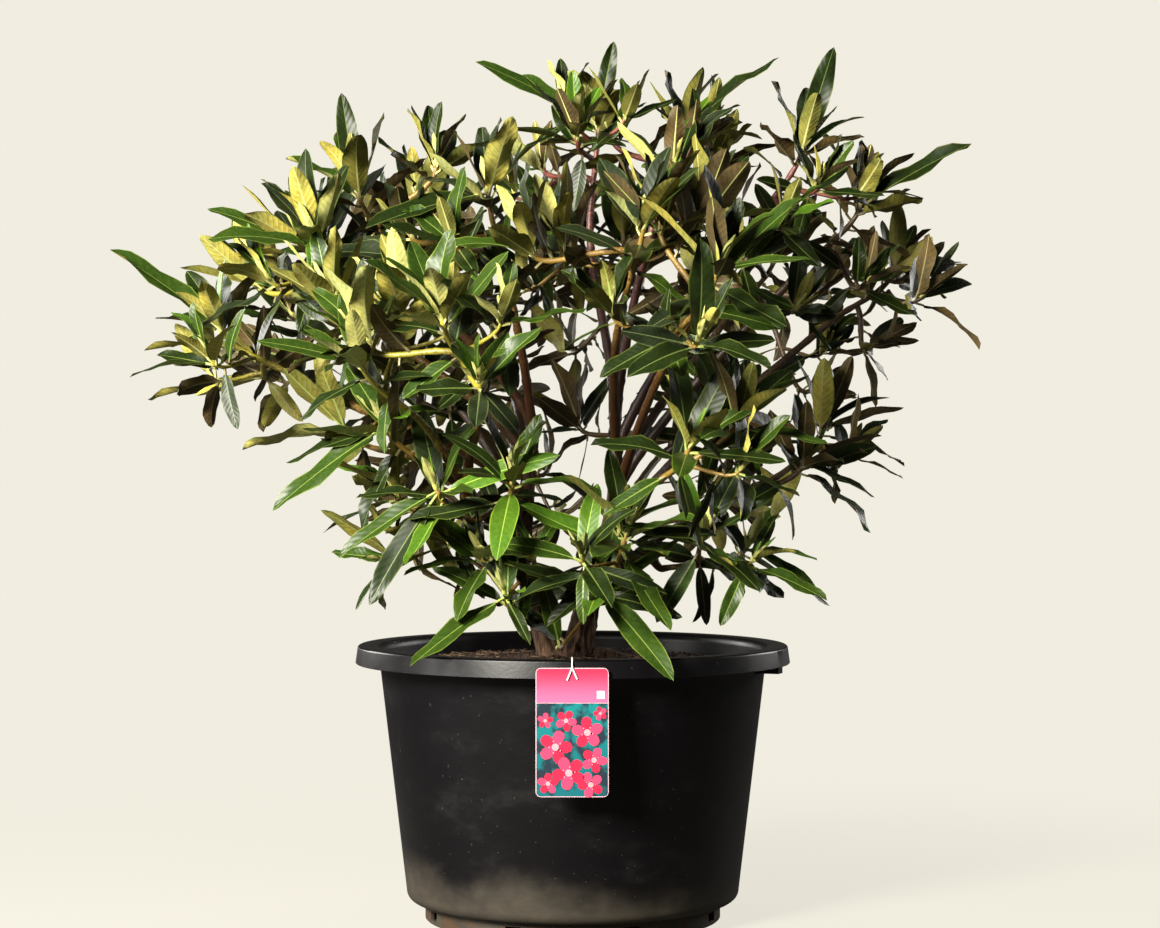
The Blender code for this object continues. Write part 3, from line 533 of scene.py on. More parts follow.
@dataclass(frozen=True)
class LeafFinish:
    """One side of a leaf: its colour, its veins and its gloss."""

    name: str
    colour: Colour
    vein: Colour
    # On the upper tones the pale edge colour is a painted rim highlight; on the under tones it is darker.
    edge: Colour
    rib: Colour
    roughness: float
    specular: float
    vein_share: float = 0.25
    quilting: float = 0.16
    vein_pairs: float = 11.0
    vein_sweep: float = 1.7
    rib_half: tuple[float, float] = (0.075, 0.045)
    rim_share: float = 0.7
    fleck_share: float = 0.45
    relief: float = 0.0006

    def material(self) -> Material:
        """Make the material: pairs of veins that sweep forward, a rim in the edge colour and a soft change
        of hue.

        Returns:
            The material, which reads the blade's own map.
        """
        wiring = Wiring(self.name, self.roughness, self.specular)
        mapped = wiring.tree.nodes.new("ShaderNodeUVMap")
        mapped.uv_map = "blade"
        parts = wiring.node("ShaderNodeSeparateXYZ", Vector=mapped.outputs["UV"])
        along, over = parts.outputs["X"], parts.outputs["Y"]
        aside = wiring.times(wiring.math("ABSOLUTE", wiring.minus(over, 0.5)), 2.0)
        sweep = wiring.minus(wiring.times(along, self.vein_pairs), wiring.times(aside, self.vein_sweep))
        wave = wiring.math("SINE", wiring.times(sweep, FULL_TURN))
        line = wiring.span(wave, 0.84, 1.0)
        patch = wiring.span(wiring.noise(28.0, 2.0), 0.35, 0.70)
        richer = scaled(self.colour, 1.25, 1.08, 0.80)
        fleck = wiring.span(wiring.noise(230.0, 2.0), 0.46, 0.66, 0.0, self.fleck_share)
        base = wiring.mix(fleck, wiring.mix(patch, self.colour, richer), self.vein)
        veined = wiring.mix(wiring.times(line, self.vein_share), base, self.vein)
        veined = wiring.mix(wiring.span(aside, *self.rib_half), veined, self.rib)
        # Rim: on the upper tones a pale painted rim highlight, on the under tones a darker rim.
        rim = wiring.times(wiring.span(aside, 0.86, 1.0), self.rim_share)
        wiring.colour(wiring.mix(rim, veined, self.edge))
        grain = wiring.times(wiring.noise(700.0, 2.0), 0.10)
        wiring.bump(wiring.plus(wiring.times(wave, -self.quilting), grain), self.relief, 0.5)
        return wiring.material


@dataclass(frozen=True)
class RibFinish:
    """The leaf stalk and the rib that runs on from it."""

    name: str
    colour: Colour
    roughness: float = 0.5

    def material(self) -> Material:
        """Make the material: one colour with a faint mottle.

        Returns:
            The material.
        """
        wiring = Wiring(self.name, self.roughness)
        wiring.colour(wiring.mix(wiring.noise(60.0, 2.0), scaled(self.colour, 0.7), self.colour))
        return wiring.material


@dataclass(frozen=True)
class ShootFinish:
    """Bark of a young shoot, from its older foot to its fresh tip."""

    name: str
    old: Colour
    young: Colour
    roughness: float = 0.42

    def material(self) -> Material:
        """Make the material: the two colours mixed by age, with flecks and small dark spots.

        Returns:
            The material, which reads the age of each point.
        """
        wiring = Wiring(self.name, self.roughness)
        age = wiring.tree.nodes.new("ShaderNodeAttribute")
        age.attribute_name = "age"
        flecks = wiring.noise(420.0, 3.0)
        share = wiring.plus(age.outputs["Fac"], wiring.span(flecks, 0.3, 0.7, -0.22, 0.22))
        base = wiring.mix(wiring.span(share, 0.15, 0.75), self.old, self.young)
        spots = wiring.span(wiring.noise(700.0, 1.0), 0.66, 0.72)
        wiring.colour(wiring.mix(wiring.times(spots, 0.6), base, scaled(self.old, 0.45)))
        wiring.bump(wiring.noise(1100.0, 2.0), 0.0004, 0.7)
        return wiring.material


@dataclass(frozen=True)
class BarkFinish:
    """Old rough bark: dark fissures between lighter, redder strips."""

    name: str
    fissure: Colour
    strip: Colour
    worn: Colour
    relief: float = 0.0022

    def material(self) -> Material:
        """Make the material: strips stretched upwards, with worn light fibres on top.

        Returns:
            The material.
        """
        wiring = Wiring(self.name, 0.88, 0.25)
        strips = wiring.noise(260.0, 5.0, (1.0, 1.0, 0.16), 0.65)
        fibres = wiring.noise(900.0, 3.0, (1.0, 1.0, 0.10))
        base = wiring.mix(wiring.span(strips, 0.36, 0.60), self.fissure, self.strip)
        worn = wiring.times(wiring.span(fibres, 0.52, 0.74), wiring.span(strips, 0.45, 0.65))
        wiring.colour(wiring.mix(worn, base, self.worn))
        wiring.bump(wiring.plus(strips, wiring.times(fibres, 0.4)), self.relief, 0.9)
        return wiring.material


@dataclass(frozen=True)
class PotFinish:
    """Black moulded plastic, scuffed, with dried dust low on the wall and on the lip."""

    name: str = "pot_black_plastic"
    black: Colour = (0.0018, 0.0015, 0.0020)
    scuff: Colour = (0.0056, 0.0052, 0.0054)
    dust: Colour = (0.052, 0.043, 0.031)
    soil: Colour = (0.045, 0.026, 0.014)
    dust_span: tuple[float, float] = (0.072, 0.012)
    dust_edge: float = 0.020
    stain_span: tuple[float, float] = (0.020, 0.010)
    lip_foot: float = 0.262
    lip_polish: float = 0.27

    def material(self) -> Material:
        """Make the material: dust by height with an uneven edge, soil stains at the foot, swirls.

        Returns:
            The material.
        """
        wiring = Wiring(self.name, 0.42, 0.20)
        height = wiring.height()
        swirl = wiring.noise(16.0, 4.0, (1.0, 1.0, 1.8), 0.62)
        uneven = wiring.span(wiring.noise(7.0, 4.0), 0.3, 0.7, -self.dust_edge, self.dust_edge)
        edge = wiring.plus(height, uneven)
        band = wiring.span(edge, *self.dust_span)
        cloud = wiring.span(swirl, 0.30, 0.72, 0.42, 0.85)
        base = wiring.mix(wiring.span(swirl, 0.52, 0.75), self.black, self.scuff)
        dusty = wiring.mix(wiring.times(band, cloud), base, self.dust)
        low = wiring.span(height, *self.stain_span)
        stain = wiring.times(low, wiring.span(wiring.noise(70.0, 4.0), 0.40, 0.60))
        specks = wiring.times(wiring.span(wiring.noise(330.0, 1.0), 0.74, 0.78), 0.5)
        stained = wiring.mix(stain, dusty, self.soil)
        wiring.colour(wiring.mix(specks, stained, self.dust))
        matt = wiring.span(wiring.plus(band, swirl), 0.3, 1.3, 0.36, 0.62)
        lip = wiring.span(height, self.lip_foot, self.lip_foot + 0.002)
        polished = wiring.minus(matt, wiring.times(lip, self.lip_polish))
        wiring.put(polished, wiring.shader.inputs["Roughness"])
        wiring.bump(wiring.plus(swirl, wiring.times(wiring.noise(420.0, 2.0), 0.15)), 0.0010, 0.35)
        return wiring.material


@dataclass(frozen=True)
class GrainFinish:
    """A matt earthy stuff with two mottled colours, such as mix, fibre or bark chips."""

    name: str
    dark: Colour
    light: Colour
    scale: float
    relief: float = 0.0012

    def material(self) -> Material:
        """Make the material: two colours by noise, with a grainy bump.

        Returns:
            The material.
        """
        wiring = Wiring(self.name, 0.93, 0.2)
        grain = wiring.noise(self.scale, 5.0, (1.0, 1.0, 1.0), 0.7)
        wiring.colour(wiring.mix(wiring.span(grain, 0.38, 0.66), self.dark, self.light))
        wiring.bump(grain, self.relief, 0.8)
        return wiring.material


@dataclass(frozen=True)
class PrintFinish:
    """Printed plastic of the label: one ink, or a change from one to another over its height."""

    name: str
    top: Colour
    bottom: Colour | None = None
    top_z: float = 1.0
    bottom_z: float = 0.0
    mottle: Colour | None = None
    roughness: float = 0.30

    def material(self) -> Material:
        """Make the material: a gradient by height and, where it is given, dark soft patches.

        Returns:
            The material.
        """
        wiring = Wiring(self.name, self.roughness)
        share = wiring.span(wiring.height(), self.bottom_z, self.top_z)
        ink = wiring.mix(share, self.bottom or self.top, self.top)
        if self.mottle is not None:
            patch = wiring.span(wiring.noise(75.0, 3.0, (1.0, 1.0, 0.7)), 0.44, 0.60)
            ink = wiring.mix(patch, ink, self.mottle)
        grain = wiring.noise(1500.0, 1.0)
        wiring.colour(ink)
        wiring.bump(grain, 0.00006, 0.3)
        return wiring.material


class UpperTone(Enum):
    """Colours of the leaves' upper sides."""

    # Each upper tone's third colour, its pale edge, is a painted rim highlight.
    DEEP = LeafFinish("leaf_upper_deep", (0.0062, 0.0130, 0.0018), (0.014, 0.025, 0.0038),
                      (0.085, 0.110, 0.018), (0.085, 0.115, 0.026), 0.42, 0.22)
    MID = LeafFinish("leaf_upper_mid", (0.0160, 0.0360, 0.0035), (0.034, 0.064, 0.009),
                     (0.130, 0.180, 0.024), (0.130, 0.180, 0.034), 0.40, 0.23)
    FRESH = LeafFinish("leaf_upper_fresh", (0.036, 0.088, 0.0055), (0.070, 0.140, 0.015),
                       (0.190, 0.280, 0.030), (0.190, 0.280, 0.040), 0.42, 0.23)
    # STEEL: a greyer, bluer green that partly stands in for a painted bluish sheen.
    STEEL = LeafFinish("leaf_upper_steel", (0.0090, 0.0155, 0.0055), (0.017, 0.026, 0.0095),
                       (0.095, 0.112, 0.035), (0.085, 0.110, 0.040), 0.46, 0.29)


class UnderTone(Enum):
    """Colours of the leaves' lower sides."""

    GOLD = LeafFinish("leaf_under_gold", (0.370, 0.352, 0.084), (0.170, 0.148, 0.014),
                      (0.08, 0.09, 0.015), (0.55, 0.54, 0.19), 0.60, 0.30, 0.70)
    LIME = LeafFinish("leaf_under_lime", (0.392, 0.410, 0.150), (0.190, 0.212, 0.035),
                      (0.10, 0.14, 0.025), (0.60, 0.62, 0.28), 0.60, 0.30, 0.70)
    OLIVE = LeafFinish("leaf_under_olive", (0.165, 0.163, 0.034), (0.075, 0.074, 0.008),
                       (0.06, 0.08, 0.015), (0.32, 0.31, 0.11), 0.60, 0.30, 0.70)
    UMBER = LeafFinish("leaf_under_umber", (0.066, 0.049, 0.019), (0.030, 0.020, 0.006),
                       (0.07, 0.058, 0.020), (0.18, 0.150, 0.065), 0.62, 0.28, 0.70)


class RibTone(Enum):
    """Colours of the leaf stalks and ribs."""

    PALE = RibFinish("leaf_rib_pale", (0.56, 0.56, 0.20))
    GREEN = RibFinish("leaf_rib_green", (0.30, 0.36, 0.09))
    DULL = RibFinish("leaf_rib_dull", (0.22, 0.19, 0.08))


class ShootTone(Enum):
    """Colours of the young shoots."""

    GREEN = ShootFinish("shoot_green", (0.080, 0.034, 0.009), (0.255, 0.225, 0.022))
    AMBER = ShootFinish("shoot_amber", (0.065, 0.024, 0.008), (0.205, 0.125, 0.020))
    ROSE = ShootFinish("shoot_rose", (0.034, 0.012, 0.010), (0.170, 0.048, 0.036))
    BROWN = ShootFinish("shoot_brown", (0.028, 0.015, 0.009), (0.080, 0.048, 0.020))


def rank(tone: Enum) -> int:
    """Give the place of a tone among those of its kind, which is its material slot."""
    return list(type(tone)).index(tone)


@dataclass(frozen=True)
class Palette:
    """The tones that a mass of leaves is dealt, in turn."""

    upper: tuple[UpperTone, ...]
    under: tuple[UnderTone, ...]
    rib: RibTone
    shoot: ShootTone
    # The shade tones go to the leaves below each whorl: darker as older leaves, and partly as painted shade
    # inside the crown.
    shade_upper: tuple[UpperTone, ...] = (UpperTone.DEEP, UpperTone.DEEP, UpperTone.STEEL, UpperTone.MID)
    shade_under: tuple[UnderTone, ...] = (UnderTone.UMBER, UnderTone.OLIVE, UnderTone.UMBER)

    def tones(self, number: int, is_old_and_shaded: bool) -> tuple[int, int, int]:
        """Deal the leaf with a number the ranks of its upper side's, lower side's and rib's tones."""
        upper, under = (self.shade_upper, self.shade_under) if is_old_and_shaded else (self.upper, self.under)
        rib = RibTone.DULL if is_old_and_shaded else self.rib
        return rank(upper[number % len(upper)]), rank(under[number % len(under)]), rank(rib)


class Light(Enum):
    """Tones of a mass of leaves: partly their own colours, partly painted light and shade by where the mass
    stands in the crown.
    """

    # SUNNY: brighter gold and lime undersides, partly painted light on the lit left of the crown.
    SUNNY = Palette((UpperTone.MID, UpperTone.DEEP, UpperTone.MID, UpperTone.FRESH, UpperTone.STEEL),
                    (UnderTone.GOLD, UnderTone.LIME, UnderTone.GOLD, UnderTone.LIME, UnderTone.OLIVE),
                    RibTone.PALE, ShootTone.GREEN)
    PALE = Palette((UpperTone.DEEP, UpperTone.STEEL, UpperTone.MID),
                   (UnderTone.LIME, UnderTone.OLIVE, UnderTone.UMBER, UnderTone.GOLD, UnderTone.OLIVE),
                   RibTone.PALE, ShootTone.AMBER)
    ROSY = Palette((UpperTone.DEEP, UpperTone.MID, UpperTone.STEEL, UpperTone.DEEP, UpperTone.FRESH),
                   (UnderTone.LIME, UnderTone.OLIVE, UnderTone.UMBER, UnderTone.OLIVE),
                   RibTone.PALE, ShootTone.ROSE)
    # DUSKY: olive and umber undersides with deep uppers, partly painted shade on the right and at the back
    # of the crown.
    DUSKY = Palette((UpperTone.DEEP, UpperTone.STEEL, UpperTone.DEEP),
                    (UnderTone.OLIVE, UnderTone.UMBER, UnderTone.UMBER), RibTone.DULL, ShootTone.BROWN)
    WARM = Palette((UpperTone.MID, UpperTone.DEEP, UpperTone.DEEP),
                   (UnderTone.OLIVE, UnderTone.GOLD, UnderTone.UMBER), RibTone.GREEN, ShootTone.AMBER)
    LOW = Palette((UpperTone.MID, UpperTone.DEEP, UpperTone.FRESH, UpperTone.MID, UpperTone.DEEP),
                  (UnderTone.OLIVE, UnderTone.LIME, UnderTone.OLIVE), RibTone.GREEN, ShootTone.AMBER)


# The limbs

@dataclass(frozen=True)
class Limb:
    """One tapering limb: the places of its axis, with a radius at each."""

    places: Array
    radii: Array

    def at(self, share: float) -> tuple[Array, Array]:
        """Give the place and the heading at a share of the limb.

        Args:
            share: From 0 at its foot to 1 at its tip.

        Returns:
            The place and the heading.
        """
        position = share * (len(self.places) - 1)
        step = min(int(position), len(self.places) - 2)
        start, end = self.places[step], self.places[step + 1]
        return start + (end - start) * (position - step), unit(end - start)

    def run(self) -> Array:
        """Give the length along the limb from its foot to each of its places."""
        return np.concatenate([[0.0], np.cumsum(np.linalg.norm(np.diff(self.places, axis=0), axis=1))])


@dataclass(frozen=True)
class Spray:
    """One mass of leaves, whose limb leaves its parent at a share of the parent's length.

    The whorls are places, the lead one first. The reach holds the tips of its longest leaves, and
    extra is the number of further whorls that stand round the lead one.
    """

    name: str
    light: Light
    parent: str
    share: float
    whorls: tuple
    reach: tuple = ()
    extra: int = 0
    has_bough: bool = True
    leaf_scale: float = 1.0


# Sprays on the crown's left take SUNNY, partly painted light; those on its right take DUSKY, partly painted
# shade.
FRONT_SPRAYS = (
    Spray("far_left", Light.SUNNY, "left_stem", 0.78, ((-0.340, -0.02, 0.570), (-0.310, 0.05, 0.530)),
          ((-0.445, -0.03, 0.645),)),
    Spray("left_shoulder", Light.SUNNY, "left_stem", 0.90, ((-0.265, 0.03, 0.655), (-0.320, 0.10, 0.625)),
          ((-0.360, 0.03, 0.690),), 1),
    Spray("upper_left", Light.PALE, "left_stem", 1.0, ((-0.210, 0.00, 0.705), (-0.155, 0.06, 0.690)),
          ((-0.225, 0.00, 0.800),), 1),
    Spray("left_front", Light.SUNNY, "left_limb", 0.93, ((-0.190, -0.19, 0.530), (-0.225, -0.11, 0.595)),
          ((-0.280, -0.22, 0.548),), 1),
    Spray("centre_left_front", Light.SUNNY, "left_limb", 1.0,
          ((-0.115, -0.23, 0.568), (-0.080, -0.27, 0.510)), ((-0.180, -0.28, 0.615),), 1),
    Spray("left_low", Light.LOW, "left_limb", 0.80, ((-0.175, -0.10, 0.475), (-0.225, -0.01, 0.480)),
          ((-0.280, -0.10, 0.395), (-0.270, -0.08, 0.440))),
    Spray("left_low_inner", Light.LOW, "left_limb", 0.60, ((-0.125, -0.13, 0.415), (-0.055, -0.16, 0.425)),
          ((-0.215, -0.14, 0.352), (-0.185, -0.16, 0.310), (-0.011, -0.17, 0.447)), 1, False, 1.12),
    Spray("low_left", Light.LOW, "left_stem", 0.24, ((-0.062, -0.13, 0.318), (-0.085, -0.10, 0.355)),
          ((-0.145, -0.20, 0.258), (-0.038, -0.17, 0.275)), 0, False),
    Spray("centre_left_top", Light.PALE, "left_stem", 0.96,
          ((-0.080, -0.08, 0.695), (-0.110, -0.13, 0.645)), ((-0.190, -0.14, 0.655),), 1),
    Spray("top_centre", Light.ROSY, "centre_stem", 1.0, ((0.025, 0.00, 0.770), (-0.030, 0.05, 0.735)),
          ((0.040, 0.00, 0.850), (-0.095, 0.00, 0.830)), 1, True, 0.82),
    Spray("top_right_centre", Light.ROSY, "centre_stem", 0.86,
          ((0.105, -0.05, 0.755), (0.140, 0.04, 0.735)), ((0.195, -0.08, 0.822),), 1, True, 0.90),
    Spray("centre_front", Light.PALE, "centre_stem", 0.62, ((0.063, -0.23, 0.650), (-0.010, -0.18, 0.635)),
          ((0.110, -0.28, 0.695),), 2),
    Spray("right_front", Light.WARM, "centre_stem", 0.36, ((0.128, -0.25, 0.610), (0.085, -0.24, 0.550)),
          ((0.205, -0.29, 0.615),), 1),
    Spray("right_top", Light.ROSY, "centre_stem", 0.72, ((0.220, -0.04, 0.740), (0.195, -0.13, 0.665)),
          ((0.250, -0.04, 0.838),), 1, True, 0.86),
    Spray("right_upper", Light.DUSKY, "centre_stem", 0.48, ((0.280, 0.00, 0.690), (0.275, -0.10, 0.610)),
          ((0.385, -0.02, 0.748),), 1),
    Spray("far_right", Light.DUSKY, "centre_stem", 0.22, ((0.325, 0.09, 0.635), (0.295, 0.08, 0.555)),
          ((0.388, 0.06, 0.640),), 0, True, 0.78),
    Spray("right_middle", Light.DUSKY, "trunk", 0.88, ((0.215, -0.12, 0.440), (0.245, -0.02, 0.480)),
          ((0.280, -0.12, 0.408),)),
    Spray("right_low_front", Light.WARM, "trunk", 0.97, ((0.105, -0.20, 0.455), (0.150, -0.19, 0.480)),
          ((0.175, -0.21, 0.500),), 0, True, 1.12),
    Spray("right_low", Light.LOW, "bough_right_middle", 0.45,
          ((0.165, -0.06, 0.360), (0.120, -0.13, 0.370)), ((0.230, -0.08, 0.322),)),
    Spray("low_centre", Light.LOW, "trunk", 0.70, ((0.025, -0.13, 0.322), (0.049, -0.15, 0.374)),
          ((0.090, -0.222, 0.247), (0.100, -0.17, 0.300)), 0, False, 1.15),
)


@dataclass(frozen=True)
class BackRing:
    """Sprays round the back of the crown, on an ellipse about a centre."""

    name: str
    light: Light
    angles: tuple[float, ...]
    radii: tuple[float, float]
    height: float
    extra: int
    parents: tuple
    centre: tuple[float, float] = (-0.02, 0.0)

    def sprays(self) -> list[Spray]:
        """Give the ring's sprays.

        Formula: each leads at the centre plus (radius * cos, radius * sin) of its angle from +X.

        Returns:
            The sprays, in the order of their angles.
        """
        rows = []
        for number, (angle, (parent, share)) in enumerate(zip(self.angles, self.parents), 1):
            turn = math.radians(angle)
            lead = (self.centre[0] + self.radii[0] * math.cos(turn),
                    self.centre[1] + self.radii[1] * math.sin(turn), self.height)
            rows.append(Spray(f"{self.name}_{number}", self.light, parent, share, (lead,), (), self.extra))
        return rows


# The back rings take DUSKY: painted shade at the back and in the core of the crown.
BACK_RINGS = (
    BackRing("back_high", Light.DUSKY, (36.0, 70.0, 108.0, 144.0), (0.285, 0.300), 0.655, 4,
             (("centre_stem", 0.54), ("centre_stem", 0.80), ("left_stem", 0.84), ("left_stem", 0.70))),
    BackRing("back_low", Light.DUSKY, (52.0, 126.0), (0.240, 0.250), 0.490, 4,
             (("centre_stem", 0.12), ("left_stem", 0.52))),
)


@dataclass
class Limbs:
    """Trunk, stems and boughs, worked out by the rule of the solids."""

    trunk_places: tuple = ((0.004, 0.0, 0.246), (0.006, 0.0, 0.262), (0.010, 0.0, 0.285),
                           (0.017, 0.0, 0.318))
    trunk_radii: tuple = (0.0215, 0.0150, 0.0128, 0.0115)
    left_places: tuple = ((-0.017, 0.0, 0.246), (-0.024, 0.0, 0.265), (-0.038, 0.0, 0.310),
                          (-0.048, 0.005, 0.365), (-0.045, 0.010, 0.410), (-0.038, 0.020, 0.475))
    left_radii: tuple = (0.0180, 0.0120, 0.0105, 0.0090, 0.0075, 0.0055)
    centre_places: tuple = ((0.017, 0.0, 0.3185), (0.037, 0.008, 0.385), (0.042, 0.014, 0.440),
                            (0.040, 0.020, 0.515))
    centre_radii: tuple = (0.0090, 0.0075, 0.0065, 0.0050)
    limb_tip: tuple = (-0.098, -0.070, 0.410)
    limb_share: float = 0.36
    limb_radii: tuple = (0.0062, 0.0048)
    focus: tuple = (-0.01, 0.0, 0.30)
    lift_share: float = 0.80
    least_lift: float = 0.25
    parent_pull: float = 0.55
    bough_radii: tuple = (0.0052, 0.0032)
    spray_stem: float = 0.085
    stem_steps: int = 90
    bough_steps: int = 46
    paths: dict[str, Limb] = field(default_factory=dict)

    def heading_at(self, place: Array) -> Array:
        """Give the heading of growth at a place: away from the focus, less steep but never too flat."""
        away = np.asarray(place) - self.focus
        level = math.hypot(away[0], away[1])
        return unit(np.array((away[0], away[1], max(away[2] * self.lift_share, self.least_lift * level))))

    def leave(self, name: str, share: float, toward: Array) -> tuple[Array, Array]:
        """Give the place on a limb's axis where a new limb starts, and its first heading."""
        start, heading = self.paths[name].at(share)
        return start, unit(heading * self.parent_pull + unit(toward - start))

    def bend(self, name: str, parent: tuple[str, float], tip: Array, heading: Array,
             radii: tuple) -> None:
        """Add a limb that bends from a share of its parent's axis to a tip, with a radius at each."""
        start, leaving = self.leave(*parent, tip)
        places = bent_path(start, leaving, tip, heading, self.bough_steps)
        self.paths[name] = Limb(places, np.linspace(*radii, self.bough_steps))

    def grow(self, sprays: list[Spray]) -> None:
        """Work out the stems, then one bough for each spray that has one.

        Args:
            sprays: The sprays, each after the one whose bough it leaves.
        """
        stems = {"trunk": (self.trunk_places, self.trunk_radii),
                 "left_stem": (self.left_places, self.left_radii),
                 "centre_stem": (self.centre_places, self.centre_radii)}
        for name, (places, radii) in stems.items():
            self.paths[name] = Limb(*smooth_path(places, radii, self.stem_steps))
        tip = np.array(self.limb_tip)
        self.bend("left_limb", ("left_stem", self.limb_share), tip, self.heading_at(tip), self.limb_radii)
        for spray in sprays:
            if spray.has_bough:
                lead = np.array(spray.whorls[0])
                heading = self.heading_at(lead)
                self.bend("bough_" + spray.name, (spray.parent, spray.share),
                          lead - heading * self.spray_stem, heading, self.bough_radii)


@dataclass
class Bark:
    """Meshes with the bark's relief, for the trunk, the stems and the boughs."""

    limbs: Limbs
    stem_sides: int = 56
    bough_sides: int = 14
    trunk_relief: float = 0.16
    stem_relief: float = 0.128
    bough_relief: float = 0.05
    grain_radius: float = 0.011
    grain_stretch: float = 8.0
    node_pitch: float = 0.019
    node_swell: float = 0.16
    flare: float = 0.35
    flare_length: float = 0.009
    limb_age: float = 0.15
    bough_age: float = 0.55
    finish: BarkFinish = BarkFinish("bark_old", (0.018, 0.010, 0.007), (0.095, 0.052, 0.031),
                                    (0.230, 0.140, 0.090))

    def rough_radii(self, limb: Limb, sides: int, relief: float, seed: int) -> Array:
        """Give the radius of each point round a limb.

        Formula: the limb's radius, times one plus ridges (noise stretched eight times along the
        limb, sharpened by a power) plus a lump noise that is even in all directions.

        Args:
            limb: The limb.
            sides: Points round.
            relief: Depth of the ridges as a share of the radius.
            seed: Seed of the noise.

        Returns:
            Radii, one row a ring.
        """
        run = limb.run()[:, None, None]
        angles = even_angles(sides)
        circle = np.stack([np.cos(angles), np.sin(angles)], axis=1) * self.grain_radius
        size = (len(run), sides)
        flat = np.broadcast_to(circle, (*size, 2))
        stretched, even = (np.concatenate([flat, np.broadcast_to(run / stretch, (*size, 1))], axis=2)
                           for stretch in (self.grain_stretch, 1.0))
        ridges = 1.0 - 2.0 * np.abs(soft_noise(stretched, 120.0, seed)) ** 0.7
        lumps = soft_noise(even, 42.0, seed + 1)
        return limb.radii[:, None] * (1.0 + relief * (0.7 * ridges + 0.6 * lumps))

    def bough_radii(self, limb: Limb, seed: int) -> Array:
        """Give the radius of each point round a bough.

        Formula: the rough radius, times one plus a flare that dies away from the foot, plus a
        narrow swelling at each leaf scar, where a cosine along the run is near its top.

        Args:
            limb: The bough.
            seed: Seed of the noise.

        Returns:
            Radii, one row a ring.
        """
        rough = self.rough_radii(limb, self.bough_sides, self.bough_relief, seed)
        run = limb.run()
        scars = np.clip(np.cos(run / self.node_pitch * FULL_TURN + seed), 0.0, 1.0) ** 6
        swell = 1.0 + self.flare * np.exp(-run / self.flare_length) + self.node_swell * scars
        return rough * swell[:, None]

    def build(self, sprays: list[Spray]) -> list[Piece]:
        """Make the bark of the trunk and the stems, and one piece for all boughs.

        Args:
            sprays: The sprays, whose palettes give their boughs' colours.

        Returns:
            The pieces.
        """
        pieces = []
        bark = self.finish.material()
        for seed, name in enumerate(("trunk", "left_stem", "centre_stem"), 11):
            limb = self.limbs.paths[name]
            relief = self.trunk_relief if name == "trunk" else self.stem_relief
            radii = self.rough_radii(limb, self.stem_sides, relief, seed)
            shell = Shell()
            add_tube(shell, limb.places, radii, self.stem_sides)
            pieces.append(dress(shell.make(name + "_bark", [bark], 60.0), "bark", name))
        shell = Shell()
        shoots = {"left_limb": ShootTone.AMBER}
        shoots.update({"bough_" + spray.name: spray.light.value.shoot for spray in sprays})
        seeds = {name: seed for seed, name in enumerate(shoots, 20)}
        names = [name for name in shoots if name in self.limbs.paths]
        for name in names:
            limb = self.limbs.paths[name]
            is_limb = name == "left_limb"
            age = self.limb_age if is_limb else np.linspace(0.0, self.bough_age, len(limb.places)) ** 1.3
            add_tube(shell, limb.places, self.bough_radii(limb, seeds[name]), self.bough_sides, age,
                     rank(shoots[name]))
        materials = [tone.value.material() for tone in ShootTone]
        pieces.append(dress(shell.make("bough_bark", materials, 60.0), "bark", *names))
        return pieces


def dress(piece: Piece, slot: str, *nodes: str) -> Piece:
    """Ride a piece on the body, hide the nodes that it stands for and log its faces.

    Args:
        piece: The new piece.
        slot: Material slot of the record; not used.
        nodes: Names of the nodes that it replaces.

    Returns:
        The same piece.
    """
    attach(piece, BODY)
    if nodes:
        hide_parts(*nodes)
    LOG.info("%s: %d faces", piece.name, len(piece.data.polygons))
    return piece


# Leaves

@dataclass(frozen=True)
class Leaf:
    """One leaf: where it stands, where its tip reaches, and its form."""

    root: Array
    tip: Array
    along: Array
    width_share: float
    fold: float
    arch: float
    twist: float
    upper: int
    under: int
    rib: int


